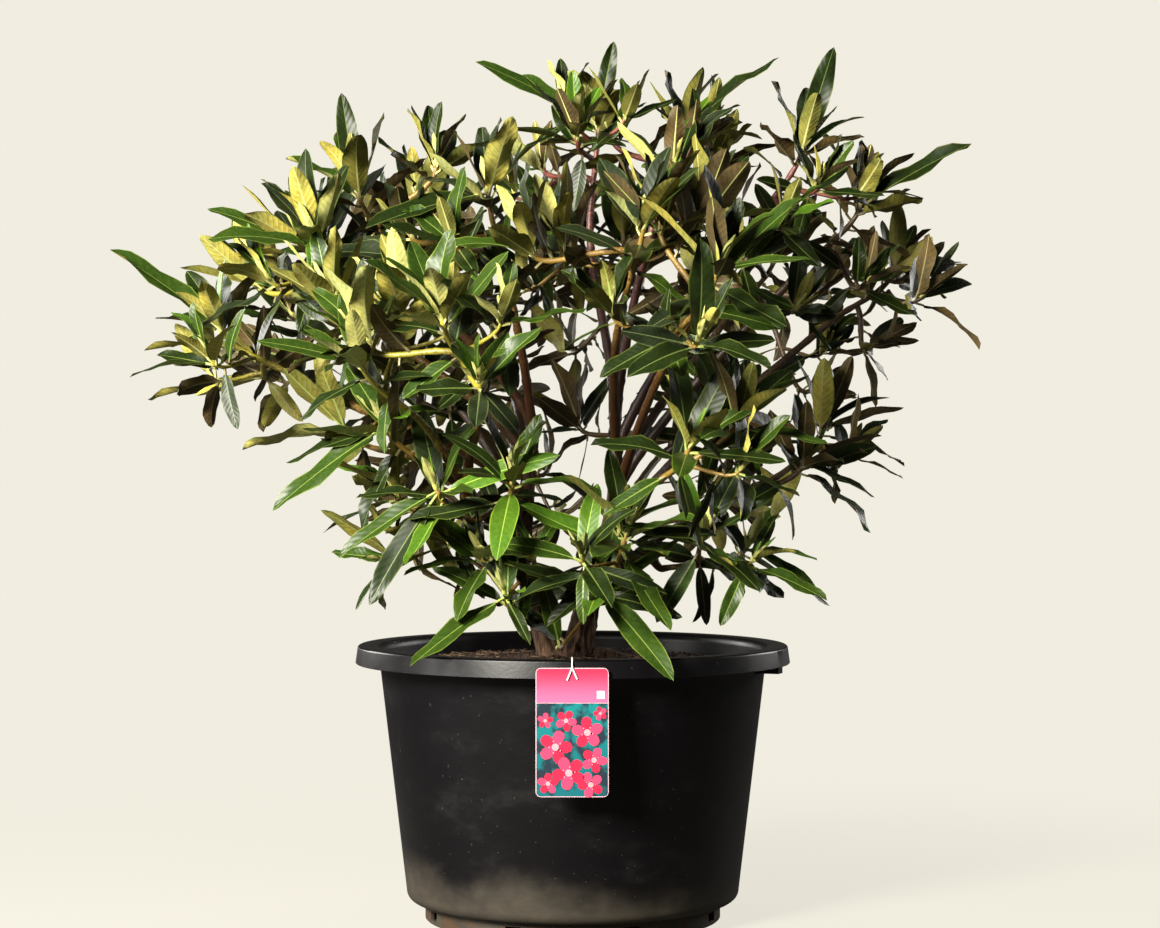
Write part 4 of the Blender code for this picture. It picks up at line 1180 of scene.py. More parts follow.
@dataclass(frozen=True)
class LeafForm:
    """The form that every leaf shares: a stalk, then a pointed blade folded along its rib."""

    stalk_share: float = 0.10
    blade_rows: tuple = (0.02, 0.07, 0.16, 0.28, 0.42, 0.57, 0.72, 0.85, 0.94)
    stalk_half: float = 0.0011
    inner_column: float = 0.52
    rib_column: float = 0.08
    rib_taper: float = 0.72
    rib_height: float = 0.0007
    thickness: float = 0.00022
    belly: float = 0.54
    point: float = 0.64
    ring: int = 10
    upward: float = 0.45
    least_arch: float = 0.02
    edge_curl: float = 0.30
    wave_rate: float = 11.0
    wave_sizes: tuple = (0.02, 0.17)
    heel: float = 0.0004

    def half_width(self, share: Array) -> Array:
        """Give the half width along the blade: share^belly * (1 - share)^point, over its own top."""
        peak = self.belly / (self.belly + self.point)
        top = peak**self.belly * (1.0 - peak) ** self.point
        return share**self.belly * (1.0 - share) ** self.point / top

    def faces(self) -> tuple[Array, Array]:
        """Give one leaf's triangles, with the column of the leaf that each lies in.

        Formula: each quad between two rings is split in two, and a lower quad by the same line as
        the upper quad over it, so that the two sides never cross.

        Returns:
            The corners of each triangle, and its column, or -1 where it is on the stalk.
        """
        rings = len(self.blade_rows) + 2
        quads = ring_faces(rings, self.ring)
        column = np.tile(np.arange(self.ring), rings - 1)
        is_upper = (column < self.ring // 2)[:, None]
        one = np.where(is_upper, quads[:, [0, 1, 2]], quads[:, [0, 1, 3]])
        other = np.where(is_upper, quads[:, [0, 2, 3]], quads[:, [1, 2, 3]])
        column[:self.ring] = -1
        pole = rings * self.ring
        fans = [fan_faces(pole, 0, self.ring, True),
                fan_faces(pole + 1, pole - self.ring, self.ring, False)]
        ends = [np.full(self.ring, -1), np.arange(self.ring)]
        return np.vstack([one, other, *fans]), np.concatenate([column, column, *ends])

    def shares(self) -> tuple[Array, Array]:
        """Give each ring's place along the whole leaf, and along the blade, 0 on the stalk."""
        rows, stalk = np.array(self.blade_rows), self.stalk_share
        whole = np.concatenate([[0.0, stalk], stalk + (1.0 - stalk) * rows])
        return whole, np.concatenate([[0.0, 0.0], rows])

    def blade_map(self) -> Array:
        """Give the place on the blade of one leaf's points: along it, and over it with the rib at 0.5.

        Returns:
            Two numbers a point, for the rings and then the two poles.
        """
        blade = self.shares()[1]
        inner, rib = self.inner_column, self.rib_column
        columns = np.array((-1.0, -inner, -rib, rib, inner, 1.0, inner, rib, -rib, -inner))
        aside = np.tile(columns, len(blade)) / 2.0 + 0.5
        return np.column_stack([np.append(np.repeat(blade, self.ring), (0.0, 1.0)),
                                np.append(aside, (0.5, 0.5))])

    def frames(self, root: Array, chord: Array, length: Array, upper: Array,
               arch: Array, twist: Array) -> tuple[Array, Array, Array]:
        """Give where the rings stand, and their directions aside and over the leaf.

        Formula: the middle line is an arc of a circle whose chord runs from root to tip. Each ring
        stands square to it, and is turned about it by the twist times its place along the leaf.

        Args:
            root: Where each leaf starts.
            chord: Direction from its root to its tip.
            length: Distance between them.
            upper: Direction that its upper side looks to.
            arch: Angle that it bends through.
            twist: Angle that it turns through.

        Returns:
            The places and both directions, for each ring of each leaf.
        """
        t = self.shares()[0]
        side = unit(np.cross(upper, chord) + chord[:, [1, 2, 0]] * 1e-4)
        normal = np.cross(chord, side)
        arch = np.where(np.abs(arch) < self.least_arch, self.least_arch, arch)
        run = length * (arch / 2.0) / np.sin(arch / 2.0)
        angle = arch / 2.0 - arch * t
        forward = run * (np.sin(arch / 2.0) - np.sin(angle)) / arch
        rise = run * (np.cos(angle) - np.cos(arch / 2.0)) / arch
        centre = root[:, None] + forward[..., None] * chord[:, None] + rise[..., None] * normal[:, None]
        over = -np.sin(angle)[..., None] * chord[:, None] + np.cos(angle)[..., None] * normal[:, None]
        turn = (twist * t)[..., None]
        aside = np.cos(turn) * side[:, None] + np.sin(turn) * over
        return centre, aside, np.cos(turn) * over - np.sin(turn) * side[:, None]

    def section(self, length: Array, width: Array, fold: Array, random: Chance) -> tuple[Array, Array]:
        """Give how far each point of a ring lies aside from the middle line and over it.

        Formula: the columns stand at set shares of the half width. A column rises by its distance
        from the rib times the tangent of the fold, drops again with the fourth power of its share,
        where the edge curls back, and waves with a sine along the blade. The upper columns lie
        above that sheet and the lower ones below it, and the rim is shared.

        Args:
            length: Length of each leaf.
            width: Its width as a share of its length.
            fold: Angle that each half is raised by.
            random: Source of the waves' sizes and phases.

        Returns:
            The distances aside and over, for each point of each ring of each leaf.
        """
        t, blade = self.shares()
        is_blade = blade > 0.0
        each = np.ones((len(length), 1))
        wide = np.maximum(self.half_width(blade) * width * length / 2.0, self.stalk_half)
        rib = self.stalk_half * (1.0 - self.rib_taper * t) * each
        inner = np.maximum(wide * self.inner_column, rib)
        lift = np.where(is_blade, self.thickness, self.stalk_half * 0.6) * each
        ridge = np.where(is_blade, self.rib_height * (1.0 - 0.6 * t), self.stalk_half) * each
        groove = np.where(is_blade, 0.0, self.stalk_half * 0.8) * each
        rim = 0.0 * each * t
        lateral = np.stack([-wide, -inner, -rib, rib, inner, wide, inner, rib, -rib, -inner], axis=2)
        sheet = np.stack([rim, lift, groove, groove, lift, rim, -lift, -ridge, -ridge, -lift], axis=2)
        share = lateral / wide[..., None]
        tilt = np.where(is_blade, np.tan(fold), 0.0)[..., None]
        size = random.uniform(*self.wave_sizes, (len(length), 1, 1)) * width[..., None] * length[..., None]
        phase = random.uniform(0.0, FULL_TURN, (len(length), 1, 1))
        wave = size * np.sin(blade[:, None] * self.wave_rate + phase) * share**2 * is_blade[:, None]
        curl = self.edge_curl * wide[..., None] * tilt * share**4
        return lateral, sheet + np.abs(lateral) * tilt - curl + wave

    def points(self, leaves: list[Leaf], random: Chance) -> Array:
        """Give the points of many leaves at once: their rings, then a pole at each end.

        Args:
            leaves: The leaves.
            random: Source of the waves' sizes and phases.

        Returns:
            The points, for each leaf a row of them.
        """
        root = np.array([leaf.root for leaf in leaves])
        chord = np.array([leaf.tip for leaf in leaves]) - root
        length = np.linalg.norm(chord, axis=1)[:, None]
        chord = chord / length
        upper = np.array([leaf.along for leaf in leaves]) + UP * self.upward
        fold, arch, twist, width = (np.array([getattr(leaf, name) for leaf in leaves])[:, None]
                                    for name in ("fold", "arch", "twist", "width_share"))
        centre, aside, over = self.frames(root, chord, length, upper, arch, twist)
        lateral, height = self.section(length, width, fold, random)
        rings = (centre[:, :, None] + lateral[..., None] * aside[:, :, None]
                 + height[..., None] * over[:, :, None])
        heel = (root - chord * self.heel)[:, None]
        tip = (root + chord * length)[:, None]
        return np.concatenate([rings.reshape(len(leaves), -1, 3), heel, tip], axis=1)

    def add(self, shell: Shell, leaves: list[Leaf], seed: int, uppers: int, unders: int) -> None:
        """Add leaves to a piece, each side in its own tone.

        Args:
            shell: The piece.
            leaves: The leaves.
            seed: Seed of the waves along the edges.
            uppers: Number of upper tones, which come first among the slots.
            unders: Number of under tones, which come next, before the ribs.
        """
        points = self.points(leaves, np.random.default_rng(seed))
        count, size = points.shape[:2]
        first = shell.add_points(points.reshape(-1, 3), 0.0, np.tile(self.blade_map(), (count, 1)))
        starts = first + np.arange(count) * size
        upper = np.array([leaf.upper for leaf in leaves])[:, None]
        under = uppers + np.array([leaf.under for leaf in leaves])[:, None]
        rib = uppers + unders + np.array([leaf.rib for leaf in leaves])[:, None]
        slots = np.hstack([upper] * 5 + [under, under, rib, under, under, rib])
        corners, columns = self.faces()
        shell.add_faces((corners[None] + starts[:, None, None]).reshape(-1, 3), slots[:, columns].ravel())


@dataclass
class Mass:
    """What one spray has grown: its leaves, its shoots and its buds, with its own source of chance."""

    spray: Spray
    random: Chance
    leaves: list[Leaf] = field(default_factory=list)
    shoots: list[Limb] = field(default_factory=list)
    buds: list[tuple[Array, Array]] = field(default_factory=list)


@dataclass
class Crown:
    """Grows the shoots and the leaves of every spray, and makes their meshes."""

    limbs: Limbs
    form: LeafForm = LeafForm()
    stem_radii: tuple = (0.0031, 0.0023)
    fine_radii: tuple = (0.0021, 0.0016)
    shoot_shares: tuple = (0.34, 0.50, 0.66, 0.42)
    shoot_pull: float = 0.5
    fine_pull: float = 0.55
    fine_lift: float = 0.15
    side_spread: float = 0.080
    spread_growth: float = 0.15
    spread_turn: float = 20.0
    step_back: float = 0.022
    space_offset: float = 0.045
    fine_shares: tuple = (0.46, 0.72)
    fine_length: float = 0.055
    fine_clearance: float = 0.048
    rise: float = 1.4
    whorl_leaves: int = 8
    fine_leaves: int = 5
    side_leaves: int = 6
    lower_leaves: int = 2
    shade_leaves: int = 2
    young_leaves: int = 3
    low_drop: float = 0.030
    leaf_length: float = 0.083
    leaf_widths: tuple = (0.235, 0.330)
    folds: tuple = (6.0, 30.0)
    arches: tuple = (-14.0, 46.0)
    twists: tuple = (-24.0, 24.0)
    long_width: float = 0.22
    long_arch: float = 14.0
    young_lengths: tuple = (0.024, 0.042)
    young_leans: tuple = (8.0, 20.0)
    fine_size: float = 0.84
    side_size: float = 0.80
    droop_top: float = 0.54
    droop_span: float = 0.16
    droop_most: float = math.radians(38.0)
    low_slimness: float = 0.14
    clearance: float = 0.0075
    least_clearance: float = 0.0045
    tries: tuple = ((0, 0), (24, 8), (-24, 8), (48, 16), (-48, 16))
    shorter: float = 0.8
    leaf_gap: float = 0.0012
    sampled: tuple = (0.35, 0.52, 0.70, 0.90)
    pot_top: float = 0.285
    pot_clear: float = 0.24
    sides: int = 7
    shoot_rows: int = 14
    knot: float = 0.16
    bud_size: tuple = (0.0052, 0.0052, 0.017)
    bud_sunk: float = 0.002
    masses: list[Mass] = field(default_factory=list)
    samples: list[Array] = field(default_factory=list)

    def whorl_places(self, spray: Spray) -> list[Array]:
        """Give all whorls of a spray: the named ones, then the extra ones round the first.

        Formula: each extra one steps back along the heading and out by the spread, at the golden
        angle from the one before.

        Args:
            spray: The spray.

        Returns:
            The places.
        """
        lead = np.array(spray.whorls[0])
        heading = self.limbs.heading_at(lead)
        places = [np.array(place) for place in spray.whorls]
        for index in range(spray.extra):
            turn = GOLDEN_ANGLE * (index + 1) + lead[0] * self.spread_turn
            spread = self.side_spread * (1.0 + self.spread_growth * index)
            places.append(lead - heading * self.step_back * (index + 1) + outward(heading, turn) * spread)
        return places

    def owner(self, place: Array) -> str:
        """Name the spray whose space a place lies in."""
        spans = np.linalg.norm(self.sites - place, axis=1)
        return self.site_names[int(spans.argmin())]

    def droop(self, height: float) -> float:
        """Give how far leaves tip over from their shoot: more the lower the shoot stands."""
        return self.droop_most * min(max((self.droop_top - height) / self.droop_span, 0.0), 1.0)

    def grow(self, sprays: list[Spray]) -> None:
        """Grow every spray in turn, each with its own seed.

        Args:
            sprays: The sprays.
        """
        whorls = {spray.name: self.whorl_places(spray) for spray in sprays}
        self.site_names = [name for name, places in whorls.items() for _ in places]
        self.sites = np.array([place + self.limbs.heading_at(place) * self.space_offset
                               for places in whorls.values() for place in places])
        self.tips = np.array([place for places in whorls.values() for place in places])
        for seed, spray in enumerate(sprays):
            mass = Mass(spray, np.random.default_rng(seed))
            self.grow_mass(mass, whorls[spray.name])
            self.masses.append(mass)

    def grow_mass(self, mass: Mass, whorls: list[Array]) -> None:
        """Grow one spray: its stem, its side shoots, finer shoots on those, and their leaves.

        Args:
            mass: The spray's growth.
            whorls: The places of its whorls.
        """
        spray = mass.spray
        lead = whorls[0]
        if spray.has_bough:
            foot, heading = self.limbs.paths["bough_" + spray.name].at(1.0)
        else:
            foot, heading = self.limbs.leave(spray.parent, spray.share, lead)
        stem = self.shoot(foot, heading, lead, self.stem_radii)
        shoots = [stem]
        for index, whorl in enumerate(whorls[1:]):
            start, along = stem.at(self.shoot_shares[index])
            leaving = unit(along * self.shoot_pull + unit(whorl - start))
            shoots.append(self.shoot(start, leaving, whorl, self.stem_radii))
        mass.shoots.extend(shoots)
        for order, shoot in enumerate(shoots):
            reach = list(spray.reach) if order == 0 else []
            is_low = whorls[order][2] < lead[2] - self.low_drop
            count, size = (self.side_leaves, self.side_size) if is_low else (self.whorl_leaves, 1.0)
            self.add_whorl(mass, shoot, count, self.lower_leaves, size, reach)
        for shoot in shoots:
            self.grow_fine(mass, shoot)

    def grow_fine(self, mass: Mass, shoot: Limb) -> None:
        """Grow finer shoots from a shoot, where they stay in the spray's own space.

        Args:
            mass: The spray's growth.
            shoot: The shoot.
        """
        phase = mass.random.uniform(0.0, FULL_TURN)
        for index, share in enumerate(self.fine_shares):
            start, along = shoot.at(share)
            aside, across = side_axes(along)
            turn = phase + GOLDEN_ANGLE * index
            leaving = unit(along * self.fine_pull + aside * math.cos(turn) + across * math.sin(turn)
                           + UP * self.fine_lift)
            length = self.fine_length * mass.random.uniform(0.8, 1.2)
            tip = start + leaving * length
            crowded = np.linalg.norm(self.tips - tip, axis=1).min() < self.fine_clearance
            if crowded or self.owner(tip) != mass.spray.name:
                continue
            fine = self.shoot(start, leaving, tip, self.fine_radii)
            mass.shoots.append(fine)
            self.tips = np.vstack([self.tips, tip])
            self.add_whorl(mass, fine, self.fine_leaves, 1, self.fine_size, [])

    def shoot(self, start: Array, leaving: Array, tip: Array, radii: tuple) -> Limb:
        """Give a shoot that bends up to the heading of its tip.

        Formula: it arrives along the growth there plus a rise, which is less for a shoot that runs
        down.

        Args:
            start: Where it starts.
            leaving: Its heading there.
            tip: Where it ends.
            radii: Radius at its foot and at its tip.

        Returns:
            The shoot.
        """
        climb = (tip[2] - start[2]) / np.linalg.norm(tip - start)
        lift = self.rise * min(max(0.75 + 1.25 * climb, 0.0), 1.0)
        arriving = unit(self.limbs.heading_at(tip) + UP * lift)
        places = bent_path(start, leaving, tip, arriving, self.shoot_rows)
        return Limb(places, np.linspace(*radii, self.shoot_rows))

    def stance(self, index: int, count: int) -> tuple[float, float, float]:
        """Give a leaf's place on its shoot, its lean in degrees and its size.

        Formula: the whorl's leaves step down the last part of the shoot, each leaning out further
        and a little longer than the one above; the rest hang lower down.

        Args:
            index: Number of the leaf, from the tip down.
            count: Number of leaves in the whorl.

        Returns:
            Share of the shoot, lean and size.
        """
        if index < count:
            step = index / max(count - 1, 1)
            return 0.985 - 0.13 * step, 12.0 + 50.0 * step, 0.84 + 0.26 * step
        below = index - count
        return 0.78 - 0.11 * below, 78.0 + 4.0 * below, 0.96 - 0.05 * below

    def add_whorl(self, mass: Mass, shoot: Limb, count: int, lower: int, size: float,
                  reaches: list) -> None:
        """Add a whorl of leaves at a shoot's tip, a few below it, its bud and its youngest leaves.

        Args:
            mass: The spray's growth.
            shoot: The shoot.
            count: Leaves in the whorl.
            lower: Leaves below it.
            size: Size of the leaves as a share of full size.
            reaches: Tips that the first leaves reach to.
        """
        random = mass.random
        phase = random.uniform(0.0, FULL_TURN)
        droop = self.droop(shoot.places[-1][2])
        slim = 1.0 - self.low_slimness * droop / self.droop_most
        size *= mass.spray.leaf_scale * random.uniform(0.90, 1.08)
        for index in range(count + lower + self.shade_leaves):
            share, lean, scale = self.stance(index, count)
            hang = droop if index >= count else 0.5 * droop
            lean = math.radians(lean + random.uniform(-8.0, 8.0)) + hang
            length = self.leaf_length * scale * size * random.uniform(0.84, 1.16)
            root, along = shoot.at(share)
            is_long = bool(reaches)
            if is_long:
                tip = np.array(reaches.pop(0))
            else:
                tip = self.free_tip(root, along, phase + GOLDEN_ANGLE * index, lean, hang, length)
            if tip is None:
                continue
            width = self.long_width if is_long else random.uniform(*self.leaf_widths)
            fold = random.uniform(*self.folds)
            arch = self.long_arch if is_long else random.uniform(*self.arches)
            twist = random.uniform(*self.twists)
            start = root + unit(tip - root) * self.leaf_gap
            facing = unit(along + TO_FRONT) if is_long else along
            # Leaves below the whorl get the darker shade tones, partly painted shade inside the crown.
            tones = mass.spray.light.value.tones(len(mass.leaves), index >= count)
            mass.leaves.append(Leaf(start, tip, facing, slim * width, math.radians(fold),
                                    math.radians(arch), math.radians(twist), *tones))
            self.samples.append(self.along_leaf(start, tip))
        self.add_young(mass, shoot, size)

    def free_tip(self, root: Array, along: Array, turn: float, lean: float, hang: float,
                 length: float) -> Array | None:
        """Find a free place for a leaf's tip, near where the whorl's rule puts it.

        Formula: the leaf leans out from its shoot at the turn, and then sinks by the hang. Further
        turns, each less leaning, are tried until one has room, or else the roomiest is taken.

        Args:
            root: Where the leaf starts.
            along: Heading of the shoot there.
            turn: The leaf's turn about the shoot.
            lean: Its lean from the shoot.
            hang: How far it sinks.
            length: Its length.

        Returns:
            The tip, or None where no try leaves room.
        """
        best, roomiest = None, -1.0
        for sideways, less in self.tries:
            tilt = lean - math.radians(less)
            side = outward(along, turn + math.radians(sideways))
            heading = unit(along * math.cos(tilt) + side * math.sin(tilt) - UP * 0.5 * hang)
            tip = root + heading * length
            if not self.inside(tip):
                tip = root + heading * length * self.shorter
            room = self.room(root, tip)
            if room > roomiest:
                best, roomiest = tip, room
            if room > self.clearance:
                break
        return best if roomiest >= self.least_clearance and self.inside(best) else None

    def add_young(self, mass: Mass, shoot: Limb, size: float) -> None:
        """Add the bud at a shoot's tip and the narrow upright leaves round it.

        Args:
            mass: The spray's growth.
            shoot: The shoot.
            size: Size of its leaves as a share of full size.
        """
        random = mass.random
        tip, along = shoot.at(1.0)
        mass.buds.append((tip, along))
        phase = random.uniform(0.0, FULL_TURN)
        for index in range(self.young_leaves):
            tilt = math.radians(random.uniform(*self.young_leans))
            side = outward(along, phase + GOLDEN_ANGLE * index)
            length = size * random.uniform(*self.young_lengths)
            end = tip + (along * math.cos(tilt) + side * math.sin(tilt)) * length
            if self.inside(end):
                mass.leaves.append(Leaf(
                    tip, end, along, 0.22, math.radians(30.0), math.radians(-8.0), 0.0,
                    rank(UpperTone.FRESH), rank(UnderTone.LIME), rank(RibTone.PALE)))

    def along_leaf(self, root: Array, tip: Array) -> Array:
        """Give the points of a leaf that its neighbours keep clear of."""
        return root + (tip - root) * np.array(self.sampled)[:, None]

    def room(self, root: Array, tip: Array) -> float:
        """Give the least distance from a leaf's line, root to tip, to the leaves that stand."""
        if not self.samples:
            return 1.0
        spans = np.vstack(self.samples)[:, None] - self.along_leaf(root, tip)
        return float(np.sqrt((spans**2).sum(axis=2).min()))

    def inside(self, place: Array) -> bool:
        """Tell whether a place lies in the box of the solids and clear of the pot."""
        low, high = (np.array(corner) for corner in CAD_BOX)
        clear = place[2] > self.pot_top or math.hypot(place[0], place[1]) > self.pot_clear
        return bool((place > low).all() and (place < high).all() and clear)

    def build(self) -> list[Piece]:
        """Make the leaves and the shoots of each mass, and all buds as one piece.

        Returns:
            The pieces.
        """
        pieces = []
        kinds = (UpperTone, UnderTone, RibTone)
        leaf_materials = [tone.value.material() for kind in kinds for tone in kind]
        shoot_materials = {tone: tone.value.material() for tone in ShootTone}
        for seed, mass in enumerate(self.masses):
            shell = Shell()
            self.form.add(shell, mass.leaves, seed, len(UpperTone), len(UnderTone))
            leaves = shell.make("leaves_" + mass.spray.name, leaf_materials, 50.0)
            pieces.append(dress(leaves, "foliage", "foliage_" + mass.spray.name))
        for tone, material in shoot_materials.items():
            shell = Shell()
            for mass in self.masses:
                if mass.spray.light.value.shoot is tone:
                    for shoot in mass.shoots:
                        age = np.linspace(0.4, 1.0, len(shoot.places))
                        add_tube(shell, shoot.places, self.knotted(shoot), self.sides, age)
            if shell.count:
                shoots = shell.make("shoots_" + tone.name.lower(), [material], 60.0)
                pieces.append(dress(shoots, "foliage"))
        return [*pieces, self.build_buds()]

    def knotted(self, shoot: Limb) -> Array:
        """Give a shoot's radii with a swelling at every third ring, where leaves stood."""
        rings = np.arange(len(shoot.places))
        return shoot.radii * (1.0 + self.knot * (rings % 3 == 0))

    def build_buds(self) -> Piece:
        """Make the buds of all masses, each turned from a pointed profile, as one piece.

        Formula: the profile's radius is the sine of half a turn times the height^0.62, ^0.8.

        Returns:
            The piece.
        """
        share = np.linspace(0.0, 1.0, 9)
        points, faces = lathe(np.column_stack([0.5 * np.sin(math.pi * share**0.62) ** 0.8, share]), 8)
        buds = [bud for mass in self.masses for bud in mass.buds]
        along = np.array([heading for _, heading in buds])
        aside = unit(np.cross(along, UP) + along[:, [1, 2, 0]] * 1e-3)
        matrices = np.stack([aside, np.cross(along, aside), along], axis=2) * self.bud_size
        places = np.array([place for place, _ in buds]) - along * self.bud_sunk
        shell = Shell()
        add_copies(shell, points, faces, matrices, places)
        finish = RibFinish("bud_scales", (0.52, 0.50, 0.13))
        return dress(shell.make("buds", [finish.material()], 60.0), "foliage")


# Pot, potting mix and label

@dataclass
class Pot:
    """Nursery pot: a wall that tapers, a rounded lip with a skirt, a stepped foot and two lugs."""

    height: float = 0.264
    wall: float = 0.003
    foot_wall_radius: float = 0.161
    top_wall_radius: float = 0.187
    wall_foot_z: float = 0.028
    foot_radius: float = 0.143
    foot_corner: float = 0.010
    floor: float = 0.004
    lip_radius: float = 0.2085
    skirt_radius: float = 0.2105
    skirt_z: float = 0.247
    inner_corner: float = 0.008
    outer_corner: float = 0.0025
    drain_count: int = 8
    drain_width: float = 0.016
    drain_top: float = 0.0125
    lug_angles: tuple = (-20.0, 160.0)
    lug_width: float = 0.014
    lug_drop: float = 0.006
    wall_low: float = 0.06
    wall_middle: float = 0.15
    foot_edge: float = 0.001
    skirt_edge: float = 0.0006
    drain_lift: float = 0.0003
    crease: float = 32.0
    sides: int = 192
    finish: PotFinish = PotFinish()

    def wall_radius(self, z: float) -> float:
        """Give the wall's outer radius at a height, which grows evenly from its foot to the skirt."""
        share = (z - self.wall_foot_z) / (self.skirt_z - self.wall_foot_z)
        return self.foot_wall_radius + share * (self.top_wall_radius - self.foot_wall_radius)

    def profile(self) -> Array:
        """Give radius and height round the section, from the axis below to the axis inside.

        Returns:
            The points, with the round stretches as arcs.
        """
        top, skirt = self.height, self.skirt_radius
        inner = (self.wall_radius(self.skirt_z) - self.wall + self.inner_corner, top - self.inner_corner)
        outer = (self.lip_radius - self.outer_corner, top - self.outer_corner)
        foot = (self.foot_wall_radius - self.foot_corner, self.wall_foot_z)
        ring_in = self.foot_radius - self.wall
        return np.vstack([
            [(0.0, 0.0)],
            [(self.foot_radius - self.foot_edge, 0.0), (self.foot_radius, self.foot_edge)],
            [(self.foot_radius, self.wall_foot_z - self.foot_corner)],
            arc(foot, self.foot_corner, -90.0, 0.0, 8),
            [(self.wall_radius(z), z) for z in np.linspace(self.wall_low, self.skirt_z, 9)],
            [(self.wall_radius(self.skirt_z) + self.inner_corner, top - self.wall)],
            [(self.lip_radius - self.wall, top - self.wall)],
            [(skirt - self.wall, self.skirt_z), (skirt - self.skirt_edge, self.skirt_z)],
            [(skirt, self.skirt_z + self.skirt_edge)],
            arc(outer, self.outer_corner, 4.0, 90.0, 7),
            arc(inner, self.inner_corner, 90.0, 180.0, 9),
            [(self.wall_radius(z) - self.wall, z) for z in (self.skirt_z, self.wall_middle, self.wall_low)],
            arc(foot, self.foot_corner - self.wall, 0.0, -90.0, 6),
            [(ring_in, self.wall_foot_z - self.foot_corner + self.wall), (ring_in, self.floor)],
            [(0.0, self.floor)],
        ])

    def build(self) -> Piece:
        """Make the pot: the turned section with its lugs, cut by the drain slots.

        Returns:
            The piece.
        """
        shell = Shell()
        points, faces = lathe(self.profile(), self.sides)
        shell.add_points(points)
        for group in faces:
            shell.add_faces(group)
        pot = shell.make("pot_moulded", [self.finish.material()], self.crease)
        cut_or_join(pot, self.drains(), "DIFFERENCE")
        cut_or_join(pot, self.lugs(), "UNION")
        pot.data.shade_smooth()
        pot.data.set_sharp_from_angle(angle=math.radians(self.crease))
        return dress(pot, "pot_plastic", "pot")

    def blocks(self, name: str, angles: Array, radius: float, z: float, size: Colour) -> Piece:
        """Make blocks in a ring, each turned to face outwards.

        Args:
            name: Name of the object.
            angles: Angle of each block in radians.
            radius: Distance of their middles from the axis.
            z: Height of their middles.
            size: Size outwards, round and up.

        Returns:
            The object.
        """
        ends = (-0.5, 0.5)
        corners = np.array([(x, y, w) for x in ends for y in ends for w in ends])
        faces = np.array([(0, 1, 3, 2), (4, 6, 7, 5), (0, 4, 5, 1),
                          (2, 3, 7, 6), (0, 2, 6, 4), (1, 5, 7, 3)])
        cos, sin, zero = np.cos(angles), np.sin(angles), np.zeros(len(angles))
        away = np.stack([cos, sin, zero], axis=1)
        axes = [away, np.stack([-sin, cos, zero], axis=1), np.broadcast_to(UP, away.shape)]
        shell = Shell()
        add_copies(shell, corners, [faces], np.stack(axes, axis=2) * size, away * radius + UP * z)
        return shell.make(name, [], 30.0)

    def drains(self) -> Piece:
        """Make the blocks that cut the drain slots through the foot.

        Returns:
            The blocks as one object.
        """
        angles = (np.arange(self.drain_count) + 0.5) * FULL_TURN / self.drain_count
        size = (self.wall * 4, self.drain_width, self.drain_top - self.floor)
        return self.blocks("drain_blocks", angles, self.foot_radius - self.wall / 2,
                           (self.floor + self.drain_lift + self.drain_top) / 2, size)

    def lugs(self) -> Piece:
        """Make the two lugs under the lip.

        Returns:
            The lugs as one object.
        """
        inner, outer = self.top_wall_radius - self.wall / 2, self.skirt_radius - self.wall / 2
        bottom, top = self.skirt_z - self.lug_drop, self.height - self.wall / 2
        size = (outer - inner, self.lug_width, top - bottom)
        return self.blocks("lug_blocks", np.radians(self.lug_angles), (inner + outer) / 2,
                           (bottom + top) / 2, size)


def cut_or_join(target: Piece, other: Piece, operation: str) -> None:
    """Cut a mesh by another, or join them, keep the result and remove the other.

    Args:
        target: The object that is changed.
        other: The object that is used up.
        operation: DIFFERENCE or UNION.
    """
    modifier = target.modifiers.new(operation.lower(), "BOOLEAN")
    modifier.operation = operation
    modifier.object = other
    modifier.solver = "EXACT"
    bpy.context.view_layer.update()
    evaluated = target.evaluated_get(bpy.context.evaluated_depsgraph_get())
    mesh = bpy.data.meshes.new_from_object(evaluated)
    target.modifiers.clear()
    target.data = mesh
    bpy.data.objects.remove(other, do_unlink=True)


